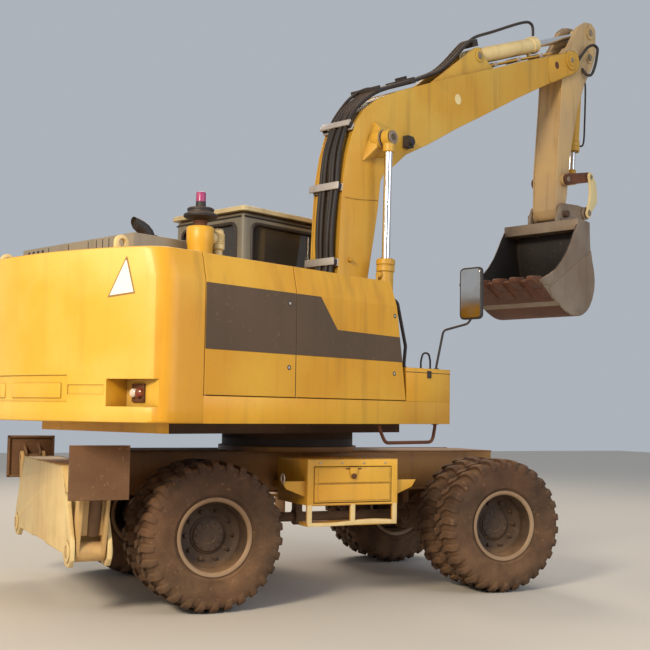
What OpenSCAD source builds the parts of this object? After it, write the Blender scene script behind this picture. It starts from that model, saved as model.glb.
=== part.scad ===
// Wheeled excavator with a one-piece boom, twin tyres and two rear stabilisers.
// Millimetres, +X forward along the undercarriage, +Y left, +Z up.
// The origin is on the ground under the slewing axis.

/* [Undercarriage] */
// Distance between the two axles
wheelbase = 2460; // [2300:10:2700]
// Rear axle behind the slewing axis
rear_axle_back = 1045; // [950:5:1150]
// Tyre outer diameter at the lug tips
tyre_od = 1055; // [1000:5:1100]
// Tyre section width
tyre_w = 278; // [250:2:290]
// Tyre centre to tyre centre in one twin wheel
twin_pitch = 320; // [305:5:350]
// Tyre centre of the outer tyres from the middle
outer_tyre_y = 1075; // [1040:5:1120]
// Bead seat radius of the rim
rim_r = 254; // [240:2:265]
// Flange height above the bead seat
rim_flange = 24; // [15:1:30]
// Width of one rim between its flanges
rim_w = 200; // [180:2:216]
// Radius of the tubular stub axles
spindle_r = 90; // [70:5:110]
// Radius of the axle tubes
axle_tube_r = 95; // [80:5:115]
// Frame half width between the axles
frame_half_w = 370; // [350:5:375]
// Frame underside height
frame_z0 = 770; // [740:5:800]
// Frame top height
frame_z1 = 1090; // [1060:5:1110]
// Frame plate thickness
frame_plate = 16; // [10:1:25]
// Frame front end ahead of the slewing axis
frame_front = 1850; // [1750:10:2000]
// Rear face of the stabiliser beam behind the slewing axis
beam_back = 2030; // [1980:5:2100]
// Kingpin axis from the middle
kingpin_y = 500; // [470:5:520]
// Steering angle at rest, left turns are positive
steer_rest = -3; // [-5:0.5:5]

/* [Superstructure] */
// Slewing angle of the upper machine over the undercarriage
slew_rest = 22; // [-30:1:40]
// Slewing ring outer diameter
ring_od = 1100; // [1000:10:1200]
// Slewing ring height
ring_h = 120; // [90:5:150]
// Platform half width
house_half_w = 1243; // [1200:5:1260]
// Skirt underside height
skirt_z0 = 1327; // [1320:1:1350]
// Skirt top height
skirt_z1 = 1502; // [1480:1:1530]
// Top of the side doors and the counterweight
house_z1 = 2420; // [2350:10:2480]
// Counterweight front face behind the slewing axis
house_rear = 2010; // [1950:10:2060]
// Height of the crease along the sides
crease_z = 2224; // [2150:2:2300]
// How far the sides lean in above the crease
side_lean = 44; // [20:2:60]
// Counterweight depth from its front face to the tail
weight_depth = 640; // [560:10:740]
// Joint between the two right doors behind the slewing axis
door_joint = 1182; // [1100:5:1250]
// Front edge of the right housing ahead of the slewing axis
house_front = 35; // [20:5:60]
// Platform front end on the right ahead of the slewing axis
deck_front = 606; // [580:2:650]
// Door and panel thickness
panel_t = 40; // [25:1:50]
// Engine hood height above the doors
hood_h = 170; // [130:5:200]

/* [Cab] */
// Cab rear wall behind the slewing axis
cab_back = 270; // [250:5:300]
// Cab length
cab_len = 1620; // [1550:10:1700]
// Cab right wall from the middle
cab_y0 = 300; // [295:1:310]
// Cab width
cab_w = 905; // [880:5:940]
// Cab floor height
cab_z0 = 1388; // [1387.5:0.5:1400]
// Cab body height
cab_h = 1735; // [1700:5:1760]
// Cab wall thickness
cab_t = 50; // [35:1:60]
// Roof thickness
roof_t = 70; // [50:5:90]

/* [Arm] */
// Boom width over the side plates
boom_w = 340; // [320:5:360]
// Stick width
stick_w = 300; // [280:5:310]
// Bucket width
bucket_w = 958; // [900:2:1100]
// Bucket plate thickness
bucket_t = 20; // [12:1:30]
// Boom cylinder barrel diameter
boom_barrel_d = 140; // [120:5:150]
// Boom cylinder rod diameter
boom_rod_d = 72; // [60:1:85]
// Boom cylinders' distance from the boom's middle plane
boom_cyl_y = 335; // [325:5:345]
// Boom's middle plane beside the slewing axis
arm_y = -140; // [-160:5:-120]
// Stick cylinder barrel diameter
stick_barrel_d = 150; // [130:5:160]
// Stick cylinder rod diameter
stick_rod_d = 80; // [60:1:90]
// Bucket cylinder barrel diameter
bucket_barrel_d = 125; // [105:5:130]
// Bucket cylinder rod diameter
bucket_rod_d = 65; // [50:1:75]
// Radius of the main arm pins
pin_r = 40; // [32:1:45]
// Running clearance of a pin in its bore
pin_gap = 0.08; // [0.05:0.01:0.1]

/* [Hidden] */
$fn = 48;
eps = 0.01;
// Gap between moving neighbours, and between pieces that only touch
run_gap = 6;
seat_gap = 0.3;

// Colours
yellow = [0.85, 0.62, 0.12];
cream = [0.88, 0.78, 0.47];
dark = [0.16, 0.14, 0.13];
steel = [0.72, 0.72, 0.72];
grey = [0.42, 0.38, 0.33];
rubber = [0.30, 0.22, 0.15];
glass = [0.35, 0.40, 0.42];
earth = [0.50, 0.43, 0.35];

// Wheels
wheel_r = tyre_od / 2;
inner_tyre_y = outer_tyre_y - twin_pitch;
mid_twin_y = outer_tyre_y - twin_pitch / 2;
rear_x = -rear_axle_back;
front_x = rear_x + wheelbase;
disc_t = 18;
hub_r = 150;
hub_in = mid_twin_y - 170;
hub_out = mid_twin_y + 130;

// Arm points in the boom's middle plane, as [x, z] of the upper machine
boom_foot = [290, 1700];
boom_eye = [730, 3830];
boom_base = [670, 1380];
stick_pivot = [4170, 5450];
stick_base = [2420, 5060];
stick_eye = [4650, 5910];
bucket_pin = [3985, 3650];
rocker_pin = [4035, 4050];
link_pin = [4495, 4150];
bucket_hinge = [4450, 3725];
bucket_base = [4640, 5610];

// The plane y = 0 outline extruded from y0 to y1
module slab(pts, y0, y1) {
  translate([0, y1, 0])
    rotate([90, 0, 0])
      linear_extrude(y1 - y0)
        polygon(pts);
}

// A cylinder along Y
module rod_y(p, r, y0, y1) {
  translate([p[0], y0, p[1]])
    rotate([-90, 0, 0])
      cylinder(r = r, h = y1 - y0);
}

// A cylinder between two points
module bar(a, b, r) {
  d = b - a;
  l = norm(d);
  translate(a)
    rotate([0, acos(d[2] / l), atan2(d[1], d[0])])
      cylinder(r = r, h = l);
}

// A bent tube swept along points, with flat ends
module tube(pts, r, sides = 10) {
  n = len(pts);
  dirs = [for (i = [0 : n - 1]) let (d = pts[min(i + 1, n - 1)] - pts[max(i - 1, 0)]) d / norm(d)];
  rings = [for (i = [0 : n - 1])
    let (d = dirs[i], side = cross(d, abs(d[1]) > 0.9 ? [1, 0, 0] : [0, 1, 0]),
      u = side / norm(side), v = cross(d, u))
    for (k = [0 : sides - 1]) pts[i] + r * (u * cos(360 * k / sides) + v * sin(360 * k / sides))];
  walls = [for (i = [0 : n - 2]) for (k = [0 : sides - 1]) let (k1 = (k + 1) % sides)
    [i * sides + k1, i * sides + k, (i + 1) * sides + k, (i + 1) * sides + k1]];
  polyhedron(rings, concat(walls, [[for (k = [0 : sides - 1]) k]],
    [[for (k = [sides - 1 : -1 : 0]) (n - 1) * sides + k]]), convexity = 4);
}

module both_sides() {
  children();
  mirror([0, 1, 0])
    children();
}

// The upper machine's frame
module slewed() {
  rotate([0, 0, slew_rest])
    children();
}

// The boom's middle plane
module armed() {
  slewed()
    translate([0, arm_y, 0])
      children();
}

// The frame of the knuckle on side s, 1 is left
module steered(s) {
  translate([front_x, s * kingpin_y, 0])
    rotate([0, 0, steer_rest])
      translate([-front_x, -s * kingpin_y, 0])
        children();
}

// Undercarriage

ped_h = 40;
ring_z0 = frame_z1 + ped_h;
axle_seat_r = axle_tube_r + seat_gap;

module frame_outline(half_w, x0, x1, neck) {
  polygon([[x0, -neck], [rear_x + 560, -neck], [rear_x + 700, -half_w], [front_x - 660, -half_w],
    [front_x - 520, -neck], [x1, -neck], [x1, neck], [front_x - 520, neck],
    [front_x - 660, half_w], [rear_x + 700, half_w], [rear_x + 560, neck], [x0, neck]]);
}

neck_w = 300;
saddle_y = 180;
frame_back = -beam_back + 290;
tow_eye_r = 32;
tow_x = frame_front + 70;
tow_z = frame_z0 + 120;

module chassis_frame() color(yellow) {
  difference() {
    union() {
      difference() {
        translate([0, 0, frame_z0])
          linear_extrude(frame_z1 - frame_z0)
            frame_outline(frame_half_w, frame_back, frame_front, neck_w);
        translate([0, 0, frame_z0 - 1])
          linear_extrude(frame_z1 - frame_z0 - frame_plate + 1)
            frame_outline(frame_half_w - frame_plate, frame_back + frame_plate,
              frame_front - frame_plate, neck_w - frame_plate);
      }
      // Round pedestal under the slewing ring
      translate([0, 0, frame_z1 - eps])
        cylinder(d = ring_od + 60, h = ped_h + eps);
      // Axle saddles beside the differentials
      for (x = [rear_x, front_x])
        for (y = [-neck_w + frame_plate - 1, saddle_y])
          translate([x - 130, y, wheel_r + 20])
            cube([260, neck_w - frame_plate - saddle_y + 1, frame_z1 - frame_plate - wheel_r - 19]);
      // Front tow lugs
      for (s = [-1, 1])
        translate([0, s * 180, 0])
          slab([[frame_front - 5, frame_z0 + 20], [tow_x + 60, tow_z - 60],
            [tow_x + 60, tow_z + 60], [frame_front - 5, frame_z1 - 20]], -20, 20);
    }
    for (x = [rear_x, front_x])
      rod_y([x, wheel_r], axle_seat_r, -frame_half_w, frame_half_w);
    for (s = [-1, 1])
      rod_y([tow_x, tow_z], tow_eye_r, s * 180 - 30, s * 180 + 30);
    cylinder(d = 500, h = 4000);
  }
}

module slew_ring() color(dark)
  translate([0, 0, ring_z0 + seat_gap])
    difference() {
      cylinder(d = ring_od, h = ring_h / 2 - seat_gap);
      translate([0, 0, -1])
        cylinder(d = ring_od - 260, h = ring_h);
    }

// Axle with a differential, and a flange or a yoke at each end
flange_y = hub_in - 40;

module axle_body(x) {
  rod_y([x, wheel_r], axle_tube_r, -kingpin_y + 110, kingpin_y - 110);
  rod_y([x, wheel_r], 190, -110, 110);
  rod_y([x, wheel_r], 140, -170, 170);
}

module rear_axle() color(dark) {
  axle_body(rear_x);
  both_sides() {
    rod_y([rear_x, wheel_r], axle_tube_r, kingpin_y - 120, hub_in - run_gap);
    rod_y([rear_x, wheel_r], 140, hub_in - 60, hub_in - run_gap);
    rod_y([rear_x, wheel_r], spindle_r, hub_in - 20, hub_out - 60);
  }
  bar([rear_x + 150, 0, wheel_r], [rear_x + 260, 0, wheel_r], 95);
  bar([rear_x + 240, 0, wheel_r], [front_x - 260 - run_gap, 0, wheel_r], 38);
}

yoke_h = 175;
kingpin_r = 35;

module front_axle() color(dark) {
  difference() {
    union() {
      axle_body(front_x);
      both_sides() {
        rod_y([front_x, wheel_r], axle_tube_r, kingpin_y - 230, kingpin_y - 100);
        translate([front_x - 75, kingpin_y - 125, wheel_r - yoke_h])
          cube([150, 40, 2 * yoke_h]);
        for (z = [wheel_r - yoke_h, wheel_r + yoke_h - 45]) {
          translate([front_x - 75, kingpin_y - 125, z])
            cube([150, 125, 45]);
          translate([front_x, kingpin_y, z])
            cylinder(r = 75, h = 45);
        }
      }
    }
    both_sides()
      translate([front_x, kingpin_y, wheel_r - yoke_h - 1])
        cylinder(r = kingpin_r + pin_gap, h = 2 * yoke_h + 2);
  }
  bar([front_x - 260, 0, wheel_r], [front_x - 150, 0, wheel_r], 95);
}

// Steering arm and tie rod
arm_ahead = 260;
arm_z = wheel_r - 100;

module knuckle(s) {
  steered(s)
    translate([0, 0, wheel_r]) {
      translate([front_x, s * kingpin_y, -yoke_h + 45 + run_gap])
        cylinder(r = 70, h = 2 * (yoke_h - 45 - run_gap));
      translate([front_x, s * kingpin_y, -yoke_h - 12])
        cylinder(r = kingpin_r, h = 2 * yoke_h + 24);
      mirror([0, s < 0 ? 1 : 0, 0]) {
        rod_y([front_x, 0], 105, kingpin_y + 20, hub_in - run_gap);
        rod_y([front_x, 0], spindle_r, hub_in - 20, hub_out - 60);
        translate([front_x + 40, kingpin_y - 30, arm_z - wheel_r - 20])
          cube([arm_ahead - 40, 60, 40]);
        translate([front_x + arm_ahead, kingpin_y, arm_z - wheel_r - 20])
          cylinder(r = 42, h = 40);
      }
    }
}

module knuckle_left() color(dark)
  knuckle(1);

module knuckle_right() color(dark)
  knuckle(-1);

function steered_point(s, dx) = [front_x + dx * cos(steer_rest), s * kingpin_y + dx * sin(steer_rest)];

module tie_rod() color(dark) {
  l = steered_point(1, arm_ahead);
  r = steered_point(-1, arm_ahead);
  z = arm_z - 20 - seat_gap - 25;
  bar([l[0], l[1], z], [r[0], r[1], z], 22);
  for (p = [l, r])
    translate([p[0], p[1], z - 25])
      cylinder(r = 38, h = 50);
}

// One tyre centred on y = 0, its axle along Y
lug_depth = 22;
lugs = 30;

// Tyre's section from bead to tread with a crown radius of r
function tyre_section(r) = let (e = wheel_r - r) [[rim_r + seat_gap, -rim_w / 2 + 22],
  [rim_r + rim_flange + 30, -rim_w / 2 + 4], [wheel_r * 0.75, -tyre_w / 2],
  [wheel_r * 0.86, -tyre_w / 2 + e * 0.2], [wheel_r - 26 - e, -tyre_w / 2 + 24 + e * 0.3],
  [r, -tyre_w / 2 + 66], [r, tyre_w / 2 - 66], [wheel_r - 26 - e, tyre_w / 2 - 24 - e * 0.3],
  [wheel_r * 0.86, tyre_w / 2 - e * 0.2], [wheel_r * 0.75, tyre_w / 2],
  [rim_r + rim_flange + 30, rim_w / 2 - 4], [rim_r + seat_gap, rim_w / 2 - 22]];

// Star of lugs that start at the angle turn
module lug_star(turn) {
  step = 360 / lugs;
  r0 = wheel_r * 0.8;
  r1 = wheel_r + 20;
  polygon([for (i = [0 : lugs - 1]) for (c = [[r0, -step / 2], [r0, -step * 0.27], [r1, -step * 0.22],
    [r1, step * 0.22], [r0, step * 0.27]]) c[0] * [cos(i * step + turn + c[1]), sin(i * step + turn + c[1])]]);
}

module tyre() {
  rotate([90, 0, 0]) {
    rotate_extrude($fn = 96)
      polygon(tyre_section(wheel_r - lug_depth));
    // Two staggered rows of lugs
    intersection() {
      rotate_extrude($fn = 96)
        polygon(tyre_section(wheel_r));
      union() {
        translate([0, 0, 2])
          linear_extrude(tyre_w / 2 - 2)
            lug_star(0);
        translate([0, 0, -tyre_w / 2])
          linear_extrude(tyre_w / 2 - 2)
            lug_star(180 / lugs);
      }
    }
  }
}

module twin_tyres(x, s) color(rubber)
  for (y = [inner_tyre_y, outer_tyre_y])
    translate([x, s * y, wheel_r])
      tyre();

// One rim centred on y = 0, d is the side its disc lies on
module rim() {
  rotate([-90, 0, 0])
    rotate_extrude($fn = 96)
      polygon([[rim_r + rim_flange, -rim_w / 2], [rim_r + rim_flange, -rim_w / 2 + 12],
        [rim_r, -rim_w / 2 + 20], [rim_r - 8, -10], [rim_r - 8, 10], [rim_r, rim_w / 2 - 20],
        [rim_r + rim_flange, rim_w / 2 - 12], [rim_r + rim_flange, rim_w / 2],
        [rim_r - 14, rim_w / 2], [rim_r - 26, 10], [rim_r - 26, -10], [rim_r - 14, -rim_w / 2]]);
}

// Twin rims joined by their discs and the hub, on side s
module twin_rims(x, s) color(dark)
  translate([x, 0, wheel_r])
    mirror([0, s < 0 ? 1 : 0, 0])
      difference() {
        union() {
          for (y = [inner_tyre_y, outer_tyre_y])
            translate([0, y, 0])
              rim();
          // Discs of both wheels lie back to back in the middle
          rotate([-90, 0, 0])
            rotate_extrude($fn = 96)
              polygon([[hub_r - 20, mid_twin_y - disc_t], [hub_r + 30, mid_twin_y - disc_t],
                [rim_r - 20, inner_tyre_y + 30], [rim_r - 10, inner_tyre_y + 60],
                [hub_r + 45, mid_twin_y], [rim_r - 10, outer_tyre_y - 60],
                [rim_r - 20, outer_tyre_y - 30], [hub_r + 30, mid_twin_y + disc_t],
                [hub_r - 20, mid_twin_y + disc_t]]);
          rod_y([0, 0], hub_r, hub_in, mid_twin_y + disc_t + 20);
          rod_y([0, 0], 105, mid_twin_y, hub_out);
        }
        rod_y([0, 0], spindle_r + pin_gap, hub_in - 1, hub_out - 60 + run_gap);
      }

module tyres_rear_left()
  twin_tyres(rear_x, 1);

module tyres_rear_right()
  twin_tyres(rear_x, -1);

module tyres_front_left()
  steered(1)
    twin_tyres(front_x, 1);

module tyres_front_right()
  steered(-1)
    twin_tyres(front_x, -1);

module rims_rear_left()
  twin_rims(rear_x, 1);

module rims_rear_right()
  twin_rims(rear_x, -1);

module rims_front_left()
  steered(1)
    twin_rims(front_x, 1);

module rims_front_right()
  steered(-1)
    twin_rims(front_x, -1);

// Toolbox on the right, cab steps on the left

box_x0 = -350;
box_x1 = 395;
box_y = 1200;
box_z0 = 730;
box_z1 = 1062;
box_in = 640;
box_wall = 14;
step_z = 578;
lid_margin = 50;
lid_t = 22;

module side_carrier() {
  // Carriers that reach the frame's side, and triangular wings
  for (x = [box_x0 + 70, box_x1 - 130])
    translate([x, -box_in - 5, frame_z0 + 40])
      cube([60, box_in + 5 - frame_half_w - seat_gap, 60]);
  for (w = [[box_x0, -1], [box_x1, 1]])
    translate([w[0], -box_y + 50, 0])
      slab([[0, 905], [w[1] * 185, 905], [w[1] * 150, 850], [0, 790]], -8, 8);
}

module step_frame() {
  // Posts and the step bar under the box
  for (x = [box_x0 + 20, (box_x0 + box_x1) / 2, box_x1 - 20])
    translate([x - 18, -box_y, step_z])
      cube([36, 26, box_z0 - step_z + 5]);
  translate([box_x0 + 2, -box_y, step_z])
    cube([box_x1 - box_x0 - 4, 150, 26]);
}

lid_pin_r = 6;

// Pins at the door's lower corners
module lid_pins(r, out) {
  for (x = [box_x0 + lid_margin - out, box_x1 - lid_margin - run_gap - 10])
    rod_x([-box_y + 11, box_z0 + box_wall + run_gap + 11], r, x, x + out + run_gap + 10);
}

module toolbox() color(yellow) {
  difference() {
    translate([box_x0, -box_y, box_z0])
      cube([box_x1 - box_x0, box_y - box_in, box_z1 - box_z0]);
    translate([box_x0 + box_wall, -box_y + lid_t, box_z0 + box_wall])
      cube([box_x1 - box_x0 - 2 * box_wall, box_y - box_in - lid_t - box_wall,
        box_z1 - box_z0 - 2 * box_wall]);
    translate([box_x0 + lid_margin, -box_y - 1, box_z0 + box_wall])
      cube([box_x1 - box_x0 - 2 * lid_margin, lid_t + 2, box_z1 - box_z0 - box_wall - lid_margin]);
    lid_pins(lid_pin_r + pin_gap, 22);
  }
  side_carrier();
  step_frame();
}

module toolbox_door() color(yellow) {
  g = run_gap;
  difference() {
    translate([box_x0 + lid_margin + g, -box_y, box_z0 + box_wall + g])
      cube([box_x1 - box_x0 - 2 * lid_margin - 2 * g, lid_t - 2,
        box_z1 - box_z0 - box_wall - lid_margin - 2 * g]);
    translate([box_x0 + lid_margin + g - 1, -box_y - 1, box_z0 + 150])
      cube([box_x1 - box_x0, 5, 8]);
  }
  lid_pins(lid_pin_r, 14);
  // Latch
  translate([(box_x0 + box_x1) / 2 - 25, -box_y - 10, box_z1 - lid_margin - 70])
    cube([50, 12, 36]);
}

module cab_steps() color(yellow)
  mirror([0, 1, 0]) {
    side_carrier();
    translate([box_x0, -box_y + 60, frame_z0 + 20])
      cube([box_x1 - box_x0, box_y - 60 - box_in, 90]);
    for (x = [box_x0, box_x1 - 16])
      translate([x, -box_y + 40, step_z - 140])
        cube([16, 220, frame_z0 + 60 - step_z + 140]);
    for (z = [step_z - 140, step_z + 40])
      translate([box_x0, -box_y + 40, z])
        cube([box_x1 - box_x0, 220, 22]);
  }

// Stabilisers

leg_pivot = [1020, 450];
pad_pivot = [1185, 990];
beam_depth = 280;
leg_w = 200;
leg_gap = 8;
pad_len = 400;
pad_high = 360;
pad_t = 26;
leg_pin_r = 34;

// A cylinder along X through [y, z]
module rod_x(p, r, x0, x1) {
  translate([x0, p[0], p[1]])
    rotate([0, 90, 0])
      cylinder(r = r, h = x1 - x0);
}

// An outline in the plane x = 0 extruded from x0 to x1
module cross_slab(pts, x0, x1) {
  translate([x0, 0, 0])
    rotate([90, 0, 90])
      linear_extrude(x1 - x0)
        polygon(pts);
}

beam_x0 = -beam_back;
beam_x1 = beam_x0 + beam_depth;
leg_x = beam_x0 + 155;

module stabiliser_beam() color(cream) {
  difference() {
    union() {
      // Deep box beam with an arch in its underside
      cross_slab([[-860, 420], [-250, 420], [-180, 510], [180, 510], [250, 420], [860, 420],
        [900, 520], [900, 840], [760, 1010], [-760, 1010], [-900, 840], [-900, 520]],
        beam_x0, beam_x1);
      // Cheeks that hold the legs
      for (x = [beam_x0, beam_x1 - 30])
        cross_slab([[-1110, 400], [-1110, 520], [-930, 820], [930, 820], [1110, 520], [1110, 400],
          [1060, 350], [940, 350], [850, 430], [-850, 430], [-940, 350], [-1060, 350]], x, x + 30);
      translate([beam_x1 - 5, -neck_w, frame_z0])
        cube([frame_back - beam_x1 - seat_gap + 5, 2 * neck_w, 200]);
    }
    both_sides()
      rod_x(leg_pivot, leg_pin_r + pin_gap, beam_x0 - 1, beam_x1 + 1);
    // Hollow of the beam
    cross_slab([[-840, 545], [840, 545], [840, 830], [740, 960], [-740, 960], [-840, 830]],
      beam_x0 + 30, beam_x1 - 30);
  }
}

module stabiliser_leg() {
  x0 = beam_x0 + 30 + leg_gap;
  x1 = beam_x1 - 30 - leg_gap;
  difference() {
    union() {
      rod_x(leg_pivot, 70, x0, x1);
      for (x = [x0, x1 - 26])
        hull() {
          rod_x(leg_pivot, 70, x, x + 26);
          rod_x(pad_pivot, 50, x, x + 26);
        }
      hull() {
        rod_x(leg_pivot + [45, 120], 14, x0, x1);
        rod_x(leg_pivot + [125, 420], 14, x0, x1);
      }
    }
    rod_x(pad_pivot, 25 + pin_gap, x0 - 1, x1 + 1);
  }
  rod_x(leg_pivot, leg_pin_r, beam_x0 - 12, beam_x1 + 12);
}

module leg_left() color(grey)
  stabiliser_leg();

module leg_right() color(grey)
  mirror([0, 1, 0])
    stabiliser_leg();

module stabiliser_pad() {
  x0 = beam_x0 + 30 + leg_gap + 26 + run_gap;
  x1 = beam_x1 - 30 - leg_gap - 26 - run_gap;
  y0 = pad_pivot[0] + 75;
  rod_x(pad_pivot, 25, beam_x0 + 30 + leg_gap + 2, beam_x1 - 30 - leg_gap - 2);
  for (x = [x0, x1 - 22])
    cross_slab([[pad_pivot[0] - 45, pad_pivot[1] - 30], [y0 + 2, pad_pivot[1] - 110],
      [y0 + 2, pad_pivot[1] + 110], [pad_pivot[0] - 45, pad_pivot[1] + 30]], x, x + 22);
  translate([leg_x - pad_len / 2 - 15, y0, pad_pivot[1] - pad_high / 2])
    cube([pad_len, pad_t, pad_high]);
}

module pad_left() color(grey)
  stabiliser_pad();

module pad_right() color(grey)
  mirror([0, 1, 0])
    stabiliser_pad();

// Upper machine

deck_z0 = ring_z0 + ring_h;
door_gap = 6;
door_pin_r = 8;
pin_in = 12;
deck_z1 = skirt_z0 + 60;
deck_nose = 560;
cab_deck = 1300;
slot_half = boom_w / 2 + 6;
lug_t = 45;
cyl_lug_in = 47;
cyl_lug_t = 32;
box_in_y = 620;

// Inward lean of the side at height z
function lean(z) = side_lean * max(0, z - crease_z) / (house_z1 - crease_z);

// What lies outside a side face y that leans in above the crease
module side_trim(y, x0, x1) {
  top = house_z1 + 10;
  both_sides()
    cross_slab([[y, crease_z], [y - lean(top), top], [y + 400, top], [y + 400, crease_z]], x0, x1);
}

module platform() color(yellow) {
  slewed()
    difference() {
      union() {
        // Upper ring flange
        translate([0, 0, ring_z0 + ring_h / 2 + seat_gap])
          cylinder(d = ring_od, h = ring_h / 2 + 10);
        // Centre deck
        translate([-house_rear + 120, -760, deck_z0])
          cube([house_rear - 120 + deck_nose, 1520, deck_z1 - deck_z0]);
        // Side decks
        translate([-house_rear, -house_half_w + panel_t, skirt_z0])
          cube([house_rear + deck_front, house_half_w - panel_t - box_in_y, deck_z1 - skirt_z0]);
        translate([-house_rear, cab_y0, skirt_z0])
          cube([house_rear - cab_back, house_half_w - panel_t + 1 - cab_y0, deck_z1 - skirt_z0]);
        translate([-cab_back - 1, cab_y0, skirt_z0])
          cube([cab_back + 1 + cab_deck, cab_w, cab_z0 - seat_gap - skirt_z0]);
        // Beam under the cab
        translate([deck_nose - 5, cab_y0 + 40, deck_z0])
          cube([cab_deck - deck_nose - 200, 120, skirt_z0 - deck_z0 + 1]);
        // Skirts
        translate([-house_rear, -house_half_w, skirt_z0])
          cube([house_rear + deck_front, panel_t + 1, skirt_z1 - skirt_z0]);
        translate([-house_rear, house_half_w - panel_t, skirt_z0])
          cube([house_rear - cab_back - 20, panel_t, skirt_z1 - skirt_z0]);
        translate([deck_front - panel_t, -house_half_w, skirt_z0])
          cube([panel_t, house_half_w - box_in_y, skirt_z1 - skirt_z0]);
      }
      // Slot for the boom
      translate([60, arm_y - slot_half, deck_z0 - 1])
        cube([deck_nose, 2 * slot_half, 2 * (skirt_z1 - deck_z0)]);
      // Sockets of the side doors
      for (d = [[-house_rear + door_gap, -1], [-door_joint + door_gap / 2, -1], [-house_rear + door_gap, 1]])
        translate([0, 0, -5])
          door_foot(d[0], d[1], door_pin_r + pin_gap);
      translate([0, 0, ring_z0])
        cylinder(d = ring_od - 400, h = ring_h + 10);
    }
  armed() {
    both_sides() {
      // Boom foot lugs
      difference() {
        slab([[-20, deck_z0 + 20], [540, deck_z0 + 20], [430, boom_foot[1] - 60],
          [boom_foot[0] + 95, boom_foot[1] + 60], [boom_foot[0], boom_foot[1] + 100],
          [boom_foot[0] - 95, boom_foot[1] + 60], [130, boom_foot[1] - 60]],
          slot_half, slot_half + lug_t);
      }
      // Lugs of the boom cylinders
      for (y = [boom_cyl_y - cyl_lug_in - cyl_lug_t, boom_cyl_y + cyl_lug_in])
        slab([[440, deck_z0 + 10], [boom_base[0] - 20, deck_z0 + 30], [boom_base[0] + 42, boom_base[1] - 42],
          [boom_base[0] + 62, boom_base[1]], [boom_base[0] + 42, boom_base[1] + 42],
          [boom_base[0], boom_base[1] + 62], [boom_base[0] - 70, boom_base[1] + 40],
          [boom_base[0] - 130, deck_z1], [440, deck_z1]], y, y + cyl_lug_t);
      rod_y(boom_base, pin_r, boom_cyl_y - cyl_lug_in - cyl_lug_t - 12,
        boom_cyl_y + cyl_lug_in + cyl_lug_t + 12);
    }
    rod_y(boom_foot, pin_r, -slot_half - lug_t - 14, slot_half + lug_t + 14);
  }
}

// Counterweight, plan outline with a rear arc about the slewing axis
corner_r = 190;
tail_r = house_rear + weight_depth;
function arc(r, a0, a1, n) = [for (i = [0 : n]) r * [cos(a0 + (a1 - a0) * i / n), sin(a0 + (a1 - a0) * i / n)]];
corner_c = [-sqrt(pow(tail_r - corner_r, 2) - pow(house_half_w - corner_r, 2)), house_half_w - corner_r];
corner_a = atan2(corner_c[1], -corner_c[0]);

module tail_plan(inset) {
  c = corner_c;
  offset(delta = -inset)
    polygon(concat(
      [[-house_rear + inset, -house_half_w]],
      [for (a = [0 : 15 : 90 - corner_a]) [c[0] - corner_r * sin(a), -c[1] - corner_r * cos(a)]],
      [for (a = [-corner_a : 4 : corner_a]) [-tail_r * cos(a), tail_r * sin(a)]],
      [for (a = [90 - corner_a : -15 : 0]) [c[0] - corner_r * sin(a), c[1] + corner_r * cos(a)]],
      [[-house_rear + inset, house_half_w]]));
}

eye_x = -tail_r + 380;
eye_y = 697;
eye_r = 25;
eye_ring_r = 52;
eye_z = house_z1 + 72;
lamp_y = 950;
band_half = 580;
pocket_x = -tail_r + 320;
lamp_z0 = skirt_z0 + 100;
lamp_z1 = skirt_z0 + 270;

module lifting_eye() {
  slab([[-eye_ring_r, house_z1 - 20], [eye_ring_r, house_z1 - 20], [eye_ring_r, eye_z],
    [-eye_ring_r, eye_z]], -15, 15);
  rod_y([0, eye_z], eye_ring_r, -15, 15);
}

module counterweight() color(yellow)
  slewed()
    difference() {
      union() {
        translate([0, 0, skirt_z0])
          linear_extrude(house_z1 - skirt_z0)
            tail_plan(0);
        for (s = [-1, 1])
          translate([eye_x, s * eye_y, 0])
            lifting_eye();
      }
      for (s = [-1, 1]) {
        translate([eye_x, 0, 0])
          rod_y([0, eye_z], eye_r, s * eye_y - 30, s * eye_y + 30);
        // Lamp pockets
        mirror([0, s > 0 ? 0 : 1, 0])
          translate([-tail_r, lamp_y - 70, lamp_z0])
            cube([tail_r + pocket_x, 420, lamp_z1 - lamp_z0]);
      }
      side_trim(house_half_w, -tail_r, -house_rear + 1);
      // Shallow band across the tail
      difference() {
        translate([0, 0, skirt_z0 + 125])
          cylinder(r = tail_r + 50, h = 170, $fn = 180);
        translate([0, 0, skirt_z0 + 120])
          cylinder(r = tail_r - 17, h = 180, $fn = 180);
        translate([-tail_r + 400, -house_half_w - 50, skirt_z0 + 110])
          cube([2 * tail_r, 2 * house_half_w + 100, 200]);
        for (s = [-1, 1])
          translate([-tail_r - 50, s > 0 ? band_half : -band_half - 900, skirt_z0 + 110])
            cube([900, 900, 200]);
      }
    }

// Engine house: top plate, front wall and partition
wall_t = 20;
house_top_t = 30;
nose_h = 262;
slope = 150;
shaft_y = -400;

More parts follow.
